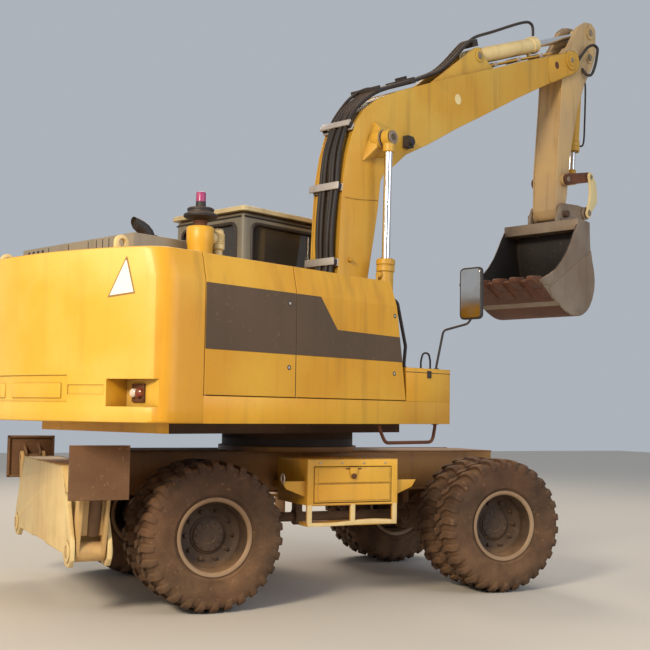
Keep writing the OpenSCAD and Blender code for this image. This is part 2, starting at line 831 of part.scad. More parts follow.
module engine_house() color(yellow)
  slewed() {
    z0 = deck_z1 + seat_gap;
    y_in = house_half_w - panel_t - run_gap;
    x_wall = -cab_back - 60;
    difference() {
      union() {
        // Top plate with the hood opening
        difference() {
          translate([-house_rear + seat_gap, -y_in, house_z1 - house_top_t])
            cube([house_rear + house_front - slope - 20, 2 * y_in, house_top_t]);
          translate([hood_x0 + 130, hood_y0 + 160, house_z1 - house_top_t - 1])
            cube([hood_x1 - hood_x0 - 150, hood_y1 - hood_y0 - 310, house_top_t + 2]);
          translate([x_wall + wall_t, shaft_y, house_z1 - 300])
            cube([house_front - x_wall, y_in - shaft_y + 1, 400]);
        }
        // Cross wall behind the boom and the cab
        translate([x_wall, shaft_y, z0])
          cube([wall_t, y_in - shaft_y, house_z1 - z0 - 1]);
        // Wall beside the boom
        translate([x_wall, shaft_y - wall_t, z0])
          cube([house_front - slope - x_wall - 20, wall_t, house_z1 - z0 - 1]);
        // Right tank behind the front door
        mirror([0, 1, 0])
          slab([[-door_joint + 40, z0], [house_front - 44, z0], [house_front - 44 - slope,
            house_z1 - house_top_t + 1], [-door_joint + 40, house_z1 - house_top_t + 1]],
            -shaft_y + wall_t - 1, y_in - 20);
        // Front wall of the right housing
        slab([[house_front - 45, skirt_z1 + seat_gap], [house_front, skirt_z1 + seat_gap],
          [house_front - slope, house_z1 - house_top_t + 1], [house_front - slope - 45,
          house_z1 - house_top_t + 1]], -y_in, shaft_y);
        // Hinge lugs and pins of the hood
        for (y = hinge_y) {
          for (e = [y - run_gap - 14, y + hinge_w + run_gap])
            translate([hood_pin[0] - 8, e, house_z1 - 5])
              cube([16, 14, hood_pin[1] - house_z1 + 14]);
          rod_y(hood_pin, door_pin_r, y - run_gap - 5, y + hinge_w + run_gap + 5);
        }
      }
      side_trim(y_in, -house_rear, house_front);
    }
    // Front box
    difference() {
      union() {
        translate([house_front + run_gap, -house_half_w, skirt_z1 + seat_gap])
          cube([deck_front - house_front - run_gap, house_half_w - box_in_y, nose_h]);
        translate([house_front - 5, -y_in, skirt_z1 + seat_gap])
          cube([20, y_in - box_in_y, nose_h]);
      }
      translate([house_front + run_gap + wall_t, -house_half_w + wall_t, skirt_z1 - 1])
        cube([deck_front - house_front - run_gap - 2 * wall_t, house_half_w - box_in_y - 2 * wall_t,
          nose_h - wall_t]);
    }
  }

module engine_block() color(grey)
  slewed()
    translate([-house_rear + 180, -330, deck_z1 + seat_gap])
      cube([640, 1100, 700]);

hood_x0 = -house_rear + 20;
hood_x1 = -720;
hood_y0 = -860;
hood_y1 = 950;
hood_pin = [hood_x1 + 16, house_z1 + 18];
hinge_w = 90;
hinge_y = [hood_y0 + 260, hood_y1 - 260 - hinge_w];

module hood() color(grey)
  slewed()
    difference() {
      union() {
        difference() {
          translate([hood_x0, hood_y0, house_z1 + seat_gap])
            cube([hood_x1 - hood_x0, hood_y1 - hood_y0, hood_h]);
          translate([hood_x0 + 20, hood_y0 + 20, house_z1 - 1])
            cube([hood_x1 - hood_x0 - 40, hood_y1 - hood_y0 - 40, hood_h - 20]);
        }
        // Hinge barrels
        for (y = hinge_y) {
          rod_y(hood_pin, 15, y, y + hinge_w);
          translate([hood_x1 - 5, y, hood_pin[1] - 12])
            cube([hood_pin[0] - hood_x1 + 5, hinge_w, 24]);
        }
      }
      for (y = hinge_y)
        rod_y(hood_pin, door_pin_r + pin_gap, y - 1, y + hinge_w + 1);
    }

// Door outline between two x values, fr is the slant of its front edge
module door_plate(x0, x1, fr, s) {
  z0 = skirt_z1 + door_gap;
  z1 = house_z1 - 4;
  out = house_half_w;
  in = house_half_w - panel_t;
  mirror([0, s > 0 ? 0 : 1, 0])
    intersection() {
      slab([[x0, z0], [x1, z0], [x1 - fr * 0.35, z0 + 0.35 * (z1 - z0)], [x1 - fr, z1], [x0, z1]],
        in - side_lean - 1, out + 1);
      cross_slab([[in, z0 - 1], [out, z0 - 1], [out, crease_z], [out - lean(z1 + 1), z1 + 1],
        [in - lean(z1 + 1), z1 + 1], [in, crease_z]], x0 - 1, x1 + 1);
    }
}

// Foot pin of a side door that starts at x0 on side s
module door_foot(x0, s, r) {
  translate([x0 + pin_in, s * (house_half_w - pin_in), skirt_z1 - 20])
    cylinder(r = r, h = 20 + door_gap + 20);
}

module door_rear_right() color(yellow)
  slewed() {
    door_plate(-house_rear + door_gap, -door_joint - door_gap / 2, 0, -1);
    door_foot(-house_rear + door_gap, -1, door_pin_r);
  }

module door_front_right() color(yellow)
  slewed() {
    door_plate(-door_joint + door_gap / 2, house_front, slope, -1);
    door_foot(-door_joint + door_gap / 2, -1, door_pin_r);
  }

module door_left() color(yellow)
  slewed() {
    door_plate(-house_rear + door_gap, -cab_back - 50, 0, 1);
    door_foot(-house_rear + door_gap, 1, door_pin_r);
  }

// Cab

cab_x0 = -cab_back;
cab_x1 = cab_x0 + cab_len;
cab_y1 = cab_y0 + cab_w;
cab_z1 = cab_z0 + cab_h;
post = 90;
glass_t = 8;

// Side outline of the cab, the front leans back
function cab_side(inset) = [[cab_x0 + inset, cab_z0 + inset], [cab_x1 - inset, cab_z0 + inset],
  [cab_x1 - inset, cab_z0 + 700], [cab_x1 - 160 - inset, cab_z1 - inset], [cab_x0 + inset, cab_z1 - inset]];
win_z0 = cab_z0 + 760;
win_z1 = cab_z1 - post;
door_x0 = cab_x0 + 520;
door_x1 = cab_x1 - 210;

module side_window(x0, x1, z0, z1, y0, y1) {
  translate([x0, y0, z0])
    cube([x1 - x0, y1 - y0, z1 - z0]);
}

module cab_shell() color(grey)
  slewed()
    difference() {
      slab(cab_side(0), cab_y0, cab_y1);
      // Inside room, open at the top under the roof
      slab([[cab_x0 + cab_t, cab_z0 + cab_t], [cab_x1 - cab_t, cab_z0 + cab_t],
        [cab_x1 - cab_t, cab_z0 + 700], [cab_x1 - 160 - cab_t, cab_z1 + 10], [cab_x0 + cab_t, cab_z1 + 10]],
        cab_y0 + cab_t, cab_y1 - cab_t);
      // Rear, right, left rear and front windows
      translate([cab_x0 - 1, cab_y0 + post, win_z0 + 100])
        cube([cab_t + 2, cab_w - 2 * post, win_z1 - win_z0 - 100]);
      side_window(cab_x0 + post, cab_x1 - 330, win_z0, win_z1, cab_y0 - 1, cab_y0 + cab_t + 1);
      side_window(cab_x0 + post, door_x0 - 70, win_z0, win_z1, cab_y1 - cab_t - 1, cab_y1 + 1);
      translate([cab_x1 - 400, cab_y0 + post, cab_z0 + 300])
        cube([500, cab_w - 2 * post, win_z1 - cab_z0 - 300]);
      // Door opening
      side_window(door_x0, door_x1, cab_z0 + 60, win_z1, cab_y1 - cab_t - 1, cab_y1 + 1);
      translate([0, 0, -5])
        cab_door_foot(door_pin_r + pin_gap);
    }

module cab_roof() color(cream)
  slewed()
    translate([0, 0, cab_z1 + seat_gap])
      linear_extrude(roof_t)
        offset(r = 60)
          translate([cab_x0 + 20, cab_y0 + 20])
            square([cab_len - 160 - 10, cab_w - 40]);

module cab_glass() color(glass)
  slewed() {
    g = seat_gap;
    translate([cab_x0 + 20, cab_y0 + post + g, win_z0 + 100 + g])
      cube([glass_t, cab_w - 2 * post - 2 * g, win_z1 - win_z0 - 100 - 2 * g]);
    side_window(cab_x0 + post + g, cab_x1 - 330 - g, win_z0 + g, win_z1 - g, cab_y0 + 20, cab_y0 + 20 + glass_t);
    side_window(cab_x0 + post + g, door_x0 - 70 - g, win_z0 + g, win_z1 - g,
      cab_y1 - 20 - glass_t, cab_y1 - 20);
    // Front pane follows the leaning posts
    slab([[cab_x1 - 28, cab_z0 + 300 + g], [cab_x1 - 20, cab_z0 + 300 + g], [cab_x1 - 20, cab_z0 + 705],
      [cab_x1 - 155, win_z1 - g], [cab_x1 - 163, win_z1 - g], [cab_x1 - 28, cab_z0 + 700]],
      cab_y0 + post + g, cab_y1 - post - g);
  }

module cab_door_foot(r) {
  translate([door_x0 + run_gap + pin_in, cab_y1 - pin_in, cab_z0 + 40])
    cylinder(r = r, h = 60);
}

module cab_door() color(grey)
  slewed() {
    cab_door_foot(door_pin_r);
    difference() {
      side_window(door_x0 + run_gap, door_x1 - run_gap, cab_z0 + 60 + run_gap, win_z1 - run_gap,
        cab_y1 - cab_t, cab_y1);
      side_window(door_x0 + 70, door_x1 - 70, cab_z0 + 620, win_z1 - 70, cab_y1 - cab_t - 1, cab_y1 + 1);
    }
  }

module cab_door_glass() color(glass)
  slewed()
    side_window(door_x0 + 70 + seat_gap, door_x1 - 70 - seat_gap, cab_z0 + 620 + seat_gap, win_z1 - 70 - seat_gap,
      cab_y1 - 20 - glass_t, cab_y1 - 20);

seat_x = cab_x0 + 520;
seat_y = cab_y0 + cab_w / 2;

module seat() color(dark)
  slewed() {
    z0 = cab_z0 + cab_t + seat_gap;
    translate([seat_x - 130, seat_y - 180, z0])
      cube([360, 360, 340]);
    translate([seat_x - 180, seat_y - 250, z0 + 340])
      cube([500, 500, 120]);
    translate([seat_x - 270, seat_y - 230, z0 + 400])
      cube([130, 460, 900]);
    // Levers and wheel column
    translate([cab_x1 - 380, seat_y - 60, z0])
      cube([80, 120, 620]);
  }

module exhaust() color(dark)
  slewed() {
    x = -1800;
    y = -350;
    z = house_z1 + hood_h + 2 * seat_gap;
    translate([x, y, z])
      cylinder(r = 50, h = 60);
    translate([x, y, z + 55])
      rotate([0, -50, 0])
        cylinder(r = 50, h = 120);
  }

pre_x = -1520;
pre_y = -600;

module air_intake() color(dark)
  slewed()
    translate([pre_x, pre_y, house_z1 + hood_h + 2 * seat_gap]) {
      cylinder(r = 85, h = 90);
      cylinder(r = 45, h = 150);
      translate([0, 0, 130])
        cylinder(r = 122, h = 85);
      translate([0, 0, 210])
        cylinder(r = 36, h = 120);
      translate([160, 0, 0])
        cylinder(r = 55, h = 130);
      bar([0, 0, 50], [160, 0, 50], 40);
    }

rail_r = 14;

module handrails() color(dark)
  slewed() {
    y = -house_half_w + 70;
    top = skirt_z1 + nose_h + 2 * seat_gap;
    low = skirt_z0 - seat_gap;
    // Grab rail over the front box, step loop below the deck, small hoop on the box
    tube([[house_front + 60, y, top], [house_front + 60, y, top + 20], [house_front + 75, y, skirt_z1 + 430],
      [house_front - 30, y, house_z1 - 150], [house_front - 90, y, house_z1 - 130]], rail_r);
    tube([[-200, y, low], [-200, y, low - 15], [-130, y, skirt_z0 - 145], [470, y, skirt_z0 - 145],
      [500, y, low - 15], [500, y, low]], rail_r);
    tube([[440, y + 100, top], [440, y + 100, top + 15], [445, y + 100, skirt_z1 + 400],
      [560, y + 100, skirt_z1 + 400], [565, y + 100, top + 15], [565, y + 100, top]], 8);
  }

mirror_foot_y = -house_half_w + 93;
mirror_at = [760, -house_half_w - 87, 2400];

module rear_mirror() color(dark)
  slewed() {
    tube([[480, mirror_foot_y, skirt_z1 + nose_h + 2 * seat_gap],
      [480, mirror_foot_y, skirt_z1 + nose_h + 20], [500, mirror_foot_y - 20, mirror_at[2] - 330],
      [mirror_at[0], mirror_at[1] + 30, mirror_at[2] - 250],
      [mirror_at[0] + 30, mirror_at[1], mirror_at[2] - 180]], 12);
    translate(mirror_at - [0, 110, 215])
      cube([40, 220, 430]);
  }

module lamps() color([0.5, 0.15, 0.08])
  slewed()
    for (s = [-1, 1])
      translate([pocket_x - seat_gap - 45, s * (lamp_y + 60) - 60, lamp_z0 + 30])
        cube([45, 120, lamp_z1 - lamp_z0 - 60]);

// Arm

boom_side = [[180, 1640], [240, 1610], [340, 1620], [540, 2100], [640, 2500], [740, 2980],
  [790, 3240], [820, 3480], [880, 3580], [990, 3640], [1180, 3790], [1510, 3950], [2030, 4230],
  [2350, 4390], [3070, 4760], [3460, 4950], [3790, 5110], [4030, 5225], [4250, 5320], [4340, 5390],
  [4370, 5470], [4340, 5560], [4250, 5575], [3760, 5400], [3140, 5175], [2570, 4950], [2030, 4750],
  [1600, 4580], [1030, 4350], [770, 4225], [590, 4090], [460, 3920], [370, 3660], [320, 3420],
  [300, 3200], [270, 2600], [210, 2100], [165, 1720]];
fork_gap = 8;
fork_y = stick_w / 2 + fork_gap;
fork_t = 34;
boss_out = boom_cyl_y - 48;

module boom() color(yellow)
  armed()
    difference() {
      union() {
        difference() {
          union() {
            slab(boom_side, -boom_w / 2, boom_w / 2);
            rod_y(boom_foot, 100, -boom_w / 2, boom_w / 2);
            // Fork cheeks at the tip
            both_sides() {
              slab([[3700, 5060], [4030, 5220], [4250, 5320], [4340, 5390], [4375, 5470], [4340, 5570],
                [4250, 5580], [3660, 5370]], boom_w / 2 - 5, fork_y + fork_t);
              rod_y(stick_pivot, 112, fork_y, fork_y + 46);
            }
          }
          // Fork slot for the stick
          slab([[3780, 5000], [3860, 5420], [4060, 5700], [4600, 5800], [4600, 5100], [4050, 5000]],
            -fork_y, fork_y);
        }
        rod_y(stick_pivot, pin_r, -fork_y - 60, fork_y + 60);
        both_sides() {
          // Cylinder brackets
          rod_y(boom_eye, 90, boom_w / 2 - 5, boss_out);
          slab([[430, 3570], [700, 3700], [880, 3790], [850, 3930], [640, 3970], [520, 3920]],
            boom_w / 2 - 5, boom_w / 2 + 30);
          // Lugs of the stick cylinder
          slab([[stick_base[0] - 330, 4700], [stick_base[0] + 330, 4960], [stick_base[0] + 90,
            stick_base[1] + 70], [stick_base[0] - 60, stick_base[1] + 80], [stick_base[0] - 130,
            stick_base[1]]], 84, 124);
        }
        rod_y(stick_base, pin_r, -136, 136);
      }
      rod_y(boom_foot, pin_r + pin_gap, -boom_w, boom_w);
    }

line_r = 21;
line_y = [-130, -78, -26, 26, 78, 130];

module boom_lines() color(dark)
  armed() {
    // Hoses up the back of the boom, held by steel clamps
    for (y = line_y)
      tube([for (p = [[211, 2301], [216, 2602], [246, 3204], [267, 3428], [318, 3674], [412, 3946], [552, 4129], [742, 4271], [1008, 4399], [1580, 4630], [1930, 4770]]) [p[0], y, p[1]]], line_r);
    for (c = [[2660, 273], [3320, 309]])
      translate([c[1] - seat_gap - 80, -boom_w / 2 - 14, c[0]])
        cube([80, boom_w + 28, 60]);
  }

// Barrel from base point a toward b, length l, with an eye at a
module barrel(a, b, y, l, r, rod_r, eye_r, eye_w) {
  d = b - a;
  ang = atan2(d[1], d[0]);
  difference() {
    translate([a[0], y, a[1]])
      rotate([0, 90 - ang, 0]) {
        difference() {
          union() {
            translate([0, 0, eye_r - 15])
              cylinder(r = r, h = l - eye_r + 15);
            translate([0, 0, l - 90])
              cylinder(r = r + 14, h = 90);
          }
          translate([0, 0, eye_r + 60])
            cylinder(r = r - 16, h = l - eye_r - 60 - 70);
          translate([0, 0, l - 80])
            cylinder(r = rod_r + 0.3, h = 100);
        }
      }
  }
  difference() {
    rod_y(a, eye_r, y - eye_w / 2, y + eye_w / 2);
    rod_y(a, pin_r + pin_gap, y - eye_w, y + eye_w);
  }
}

// Rod with its eye at b, running back toward a for length l
module cyl_rod(a, b, y, l, r, bore_r, eye_r, eye_w) {
  d = a - b;
  ang = atan2(d[1], d[0]);
  translate([b[0], y, b[1]])
    rotate([0, 90 - ang, 0]) {
      translate([0, 0, eye_r - 12])
        cylinder(r = r, h = l - eye_r + 12);
      translate([0, 0, l - 60])
        cylinder(r = bore_r, h = 60);
    }
  rod_y(b, eye_r, y - eye_w / 2, y + eye_w / 2);
}

boom_barrel_l = 1370;
boom_rod_l = 1290;
eye_w = 84;

module boom_barrels() color(yellow)
  armed()
    for (s = [-1, 1])
      barrel(boom_base, boom_eye, s * boom_cyl_y, boom_barrel_l, boom_barrel_d / 2, boom_rod_d / 2, 85, eye_w);

module boom_rods() color(steel)
  armed()
    for (s = [-1, 1])
      cyl_rod(boom_base, boom_eye, s * boom_cyl_y, boom_rod_l, boom_rod_d / 2,
        boom_barrel_d / 2 - 16.5, 75, eye_w);

stick_barrel_l = 1335;
stick_rod_l = 1250;

module stick_barrel() color(cream)
  armed()
    barrel(stick_base, stick_eye, 0, stick_barrel_l, stick_barrel_d / 2, stick_rod_d / 2, 80, 150);

module stick_rod() color(steel)
  armed()
    cyl_rod(stick_base, stick_eye, 0, stick_rod_l, stick_rod_d / 2, stick_barrel_d / 2 - 16.5, 75, 110);

stick_side = [[3890, 3700], [3900, 4130], [3990, 4840], [4040, 5330], [4070, 5520], [4200, 5650],
  [4400, 5920], [4540, 6010], [4700, 6040], [4800, 5990], [4805, 5700], [4730, 5520], [4530, 5260],
  [4370, 4920], [4262, 4560], [4190, 4300], [4130, 3900], [4070, 3660], [4020, 3580], [3940, 3580]];
tail_slot = 96;
eye_slot = 62;
base_slot = 78;

module stick() color(cream)
  armed()
    difference() {
      union() {
        difference() {
          union() {
            slab(stick_side, -stick_w / 2, stick_w / 2);
            rod_y(stick_pivot, 104, -stick_w / 2, stick_w / 2);
            rod_y(bucket_pin, 84, -stick_w / 2, stick_w / 2);
            rod_y(rocker_pin, 66, -rocker_y + seat_gap + 4, rocker_y - seat_gap - 4);
          }
          // Slots of the two cylinders
          slab([[3900, 5480], [4200, 5625], [4560, 5785], [4600, 5822], [4700, 5822], [4742, 5870],
            [4742, 6200], [3900, 6200]], -tail_slot, tail_slot);
          slab([[3900, 5470], [4200, 5560], [4560, 5735], [4900, 5735], [4900, 6200], [3900, 6200]],
            -eye_slot, eye_slot);
          slab([[4380, 4860], [4430, 5060], [4555, 5600], [4555, 5690], [4610, 5702], [4900, 5702],
            [4900, 4860]], -base_slot, base_slot);
        }
        rod_y(bucket_base, pin_r, -stick_w / 2 - 10, stick_w / 2 + 10);
      }
      rod_y(bucket_pin, pin_r + pin_gap, -stick_w, stick_w);
      rod_y(rocker_pin, rocker_pin_r + pin_gap, -stick_w, stick_w);
      rod_y(stick_pivot, pin_r + pin_gap, -stick_w, stick_w);
    }

bucket_barrel_l = 1130;
bucket_rod_l = 1040;

module bucket_barrel() color(cream)
  armed()
    barrel(bucket_base, link_pin, 0, bucket_barrel_l, bucket_barrel_d / 2, bucket_rod_d / 2, 65, 110);

module bucket_rod() color(steel)
  armed()
    cyl_rod(bucket_base, link_pin, 0, bucket_rod_l, bucket_rod_d / 2, bucket_barrel_d / 2 - 16.5, 60, 100);

ear_y = stick_w / 2 + 7;
ear_t = 32;
rocker_y = ear_y + ear_t + 7;
rocker_t = 26;
rocker_pin_r = 30;
stub_y = 60;

module rockers() color(yellow)
  armed() {
    both_sides() {
      hull() {
        rod_y(rocker_pin, 62, rocker_y, rocker_y + rocker_t);
        rod_y(link_pin, 58, rocker_y, rocker_y + rocker_t);
      }
      rod_y(link_pin, 34, stub_y, rocker_y + 5);
    }
    rod_y(rocker_pin, rocker_pin_r, -rocker_y - rocker_t - 4, rocker_y + rocker_t + 4);
  }

link_y = rocker_y + rocker_t + run_gap;
link_t = 24;
bow = 75;
hinge_r = 34;

module bucket_link() color(yellow)
  armed()
    both_sides()
      difference() {
        union() {
          hull() {
            rod_y(link_pin, 52, link_y, link_y + link_t);
            rod_y((link_pin + bucket_hinge) / 2 + [bow, 10], 48, link_y, link_y + link_t);
          }
          hull() {
            rod_y((link_pin + bucket_hinge) / 2 + [bow, 10], 48, link_y, link_y + link_t);
            rod_y(bucket_hinge, 56, link_y, link_y + link_t);
          }
        }
        rod_y(bucket_hinge, hinge_r + pin_gap, link_y - 1, link_y + link_t + 1);
      }

// Bucket profile, from the top plate round the back to the lip
bucket_out = [[3860, 3550], [4065, 3535], [4070, 3360], [4080, 3240], [4108, 3120], [4145, 3010], [4165, 2900],
  [4152, 2790], [4108, 2680], [4042, 2590], [3952, 2525], [3850, 2488], [3740, 2477], [3630, 2485],
  [3500, 2525], [3370, 2585], [3240, 2655], [3120, 2728], [3010, 2790]];
function unit(v) = v / norm(v);

// An open outline moved by d to its right-hand side
function moved(pts, d) = [for (i = [0 : len(pts) - 1])
  let (n = len(pts) - 1, w = unit(pts[min(i + 1, n)] - pts[min(i, n - 1)]),
    u = unit(pts[max(i, 1)] - pts[max(i - 1, 0)]), m = unit(u + w))
  pts[i] + d / (m * w) * [m[1], -m[0]]];
bucket_in = moved(bucket_out, bucket_t);
bucket_mouth = [[3120, 2835], [3240, 2885], [3360, 2955], [3480, 3055], [3580, 3165], [3660, 3280],
  [3720, 3380], [3790, 3480]];

module bucket() color(earth)
  armed() {
    hw = bucket_w / 2;
    difference() {
      slab(concat(bucket_out, bucket_mouth), -hw, hw);
      // Hollow, open at the mouth
      slab(concat(bucket_in, [[2700, 3000], [3200, 3700], [3700, 3800]]), -hw + bucket_t, hw - bucket_t);
    }
    // Ears and pins
    both_sides()
      slab([[3835, 3500], [3850, 3600], [3905, 3750], [3985, 3780], [4310, 3800], [4450, 3795],
        [4520, 3725], [4450, 3650], [4300, 3560], [4075, 3440]], ear_y, ear_y + ear_t);
    rod_y(bucket_pin, pin_r, -ear_y - ear_t - 10, ear_y + ear_t + 10);
    rod_y(bucket_hinge, hinge_r, -link_y - link_t - 8, link_y + link_t + 8);
    // Teeth
    for (i = [-2 : 2])
      translate([0, i * (bucket_w - 130) / 4, 0])
        slab([[3110, 2715], [3020, 2770], [2900, 2900], [2930, 2915], [3080, 2830], [3200, 2775]], -45, 45);
  }

chassis_frame();
slew_ring();
rear_axle();
front_axle();
knuckle_left();
knuckle_right();
tie_rod();
tyres_rear_left();
tyres_rear_right();
tyres_front_left();
tyres_front_right();
rims_rear_left();
rims_rear_right();
rims_front_left();
rims_front_right();
toolbox();
toolbox_door();
cab_steps();
stabiliser_beam();
leg_left();
leg_right();
pad_left();
pad_right();
platform();
counterweight();
engine_house();
engine_block();
hood();
door_rear_right();
door_front_right();
door_left();
cab_shell();
cab_roof();
cab_glass();
cab_door();
cab_door_glass();
seat();
exhaust();
air_intake();
handrails();
rear_mirror();
lamps();
boom();
boom_lines();
boom_barrels();
boom_rods();
stick_barrel();
stick_rod();
stick();
bucket_barrel();
bucket_rod();
rockers();
bucket_link();
bucket();
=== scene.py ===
import math

import bmesh
import bpy
from mathutils import Matrix, Vector


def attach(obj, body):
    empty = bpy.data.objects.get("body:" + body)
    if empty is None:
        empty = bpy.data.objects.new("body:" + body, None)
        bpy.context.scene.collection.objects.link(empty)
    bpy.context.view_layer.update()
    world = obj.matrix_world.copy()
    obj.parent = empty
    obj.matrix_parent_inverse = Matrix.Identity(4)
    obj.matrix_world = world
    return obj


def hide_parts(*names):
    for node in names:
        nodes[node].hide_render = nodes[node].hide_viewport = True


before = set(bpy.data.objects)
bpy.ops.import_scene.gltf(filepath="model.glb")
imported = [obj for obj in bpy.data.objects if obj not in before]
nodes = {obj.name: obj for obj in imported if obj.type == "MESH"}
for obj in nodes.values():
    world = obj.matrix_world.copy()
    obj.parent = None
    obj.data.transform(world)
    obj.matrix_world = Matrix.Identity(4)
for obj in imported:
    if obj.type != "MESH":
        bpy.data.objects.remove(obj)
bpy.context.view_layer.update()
scene = bpy.context.scene
print("frame loaded,", len(nodes), "nodes")

# How the machine stands: turned upper part, steered front wheels, boom plane
machine = {
    "slew": 22.0,
    "armY": -0.14,
    "steer": -3.0,
    "frontX": 1.415,
    "rearX": -1.045,
    "kingpinY": 0.5,
    "wheelR": 0.5275,
}
sides = ((1, "left"), (-1, "right"))
ground = Matrix.Identity(4)
upper = Matrix.Rotation(math.radians(machine["slew"]), 4, "Z")
arm = upper @ Matrix.Translation((0, machine["armY"], 0))
mirrorY = Matrix.Diagonal((1, -1, 1, 1))
edgeAngle = math.radians(30)


def onUpper(at):
    return upper @ Matrix.Translation(at)


def steered(side):
    pin = Vector((machine["frontX"], side * machine["kingpinY"], 0))
    turn = Matrix.Rotation(math.radians(machine["steer"]), 4, "Z")
    return Matrix.Translation(pin) @ turn @ Matrix.Translation(-pin)


# Outlines and paths

def mm(*row, size=2):
    # Points in metres from a plain row of millimetres
    return [tuple(v / 1000 for v in row[i:i + size]) for i in range(0, len(row), size)]


def cornerArc(before, here, after, radius, steps):
    # The points that round one corner of a line
    one, two = before - here, after - here
    reach = min(radius / math.tan(one.angle(two) / 2), one.length * 0.49, two.length * 0.49)
    start, end = here + one.normalized() * reach, here + two.normalized() * reach
    return [start * (1 - t) ** 2 + here * 2 * t * (1 - t) + end * t ** 2
            for t in (k / steps for k in range(steps + 1))]


def roundCorners(points, radius, steps=4):
    # Closed outline with every corner turned into an arc
    points = [Vector(p) for p in points]
    return [tuple(p) for trio in zip(points[-1:] + points[:-1], points, points[1:] + points[:1])
            for p in cornerArc(*trio, radius, steps)]


def bentPath(points, radius, steps=5):
    # Open path in space with its corners bent to a radius
    points = [Vector(p) for p in points]
    trios = zip(points, points[1:], points[2:])
    bends = [p for trio in trios for p in cornerArc(*trio, radius, steps)]
    return points[:1] + bends + points[-1:]


def smoothPath(points, steps=6, closed=False):
    # Catmull-Rom curve through the points
    points = [Vector(p) for p in points]
    count = len(points)
    result = []
    for i in range(count if closed else count - 1):
        p1, p2 = points[i], points[(i + 1) % count]
        p0 = points[i - 1] if closed or i else p1
        p3 = points[(i + 2) % count] if closed or i + 2 < count else p2
        for k in range(steps):
            t = k / steps
            result.append(0.5 * (2 * p1 + (p2 - p0) * t + (2 * p0 - 5 * p1 + 4 * p2 - p3) * t ** 2
                                 + (3 * p1 - p0 - 3 * p2 + p3) * t ** 3))
    if not closed:
        result.append(points[-1])
    return result


def insetOutline(points, distance):
    # Closed outline moved inwards along its corners' normals
    area = sum(a[0] * b[1] - b[0] * a[1] for a, b in zip(points, points[1:] + points[:1]))
    sign = 1 if area > 0 else -1
    result = []
    count = len(points)
    for i in range(count):
        here = Vector(points[i])
        one = (here - Vector(points[i - 1])).normalized()
        two = (Vector(points[(i + 1) % count]) - here).normalized()
        normals = [Vector((-d[1], d[0])) * sign for d in (one, two)]
        middle = (normals[0] + normals[1]).normalized()
        reach = distance / max(0.35, middle.dot(normals[0]))
        result.append(tuple(here + middle * reach))
    return result


def around(count):
    # Even angles of a full turn
    return [k * 2 * math.pi / count for k in range(count)]


def arc(x, z, radius, angles):
    return [(x + radius * math.cos(a), z + radius * math.sin(a)) for a in angles]


def circle(x, z, radius, steps=32):
    return arc(x, z, radius, around(steps))


def rectangle(x0, z0, x1, z1, radius=0.0, steps=5):
    corners = [(x0, z0), (x1, z0), (x1, z1), (x0, z1)]
    return roundCorners(corners, radius, steps) if radius else corners


# Solids added to a mesh that is being built

def slab(bm, outline, y0, y1, mat=0):
    near = [bm.verts.new((p[0], y0, p[1])) for p in outline]
    far = [bm.verts.new((p[0], y1, p[1])) for p in outline]
    faces = [bm.faces.new(near), bm.faces.new(far[::-1])]
    for i in range(len(outline)):
        j = (i + 1) % len(outline)
        faces.append(bm.faces.new((near[j], near[i], far[i], far[j])))
    for face in faces:
        face.material_index = mat


def block(bm, low, high, mat=0):
    slab(bm, rectangle(low[0], low[2], high[0], high[2]), low[1], high[1], mat)


def lathe(bm, profile, at, axis, steps=48, mat=0, ring=False):
    # The profile's points are (distance along the axis, radius)
    turn = Vector((0, 0, 1)).rotation_difference(Vector(axis)).to_matrix()
    rows = []
    for along, radius in profile:
        angles = [0.0] if radius < 1e-6 else around(steps)
        spots = [(radius * math.cos(a), radius * math.sin(a), along) for a in angles]
        rows.append([bm.verts.new(Vector(at) + turn @ Vector(spot)) for spot in spots])
    pairs = list(zip(rows, rows[1:])) + ([(rows[-1], rows[0])] if ring else [])
    for a, b in pairs:
        for k in range(steps):
            j = (k + 1) % steps
            corners = [a[k % len(a)], a[j % len(a)], b[j % len(b)], b[k % len(b)]]
            bm.faces.new(list(dict.fromkeys(corners))).material_index = mat


def rod(bm, start, end, radius, steps=32, mat=0, edge=0.004):
    # Round bar with turned edges
    start, end = Vector(start), Vector(end)
    length = (end - start).length
    edge = min(edge, radius * 0.3, length * 0.3)
    lathe(bm, [(0, 0), (0, radius - edge), (edge, radius), (length - edge, radius),
               (length, radius - edge), (length, 0)], start, end - start, steps, mat)


def tube(bm, points, radius, sides=12, mat=0):
    points = [Vector(p) for p in points]
    side = None
    rings = []
    for i, here in enumerate(points):
        along = (points[min(i + 1, len(points) - 1)] - points[max(i - 1, 0)]).normalized()
        if side is None:
            side = along.orthogonal().normalized()
        side = (side - along * side.dot(along)).normalized()
        other = along.cross(side)
        rings.append([bm.verts.new(here + radius * (side * math.cos(a) + other * math.sin(a)))
                      for a in around(sides)])
    faces = [bm.faces.new(rings[0][::-1]), bm.faces.new(rings[-1])]
    for a, b in zip(rings, rings[1:]):
        for k in range(sides):
            j = (k + 1) % sides
            faces.append(bm.faces.new((a[k], a[j], b[j], b[k])))
    for face in faces:
        face.material_index = mat


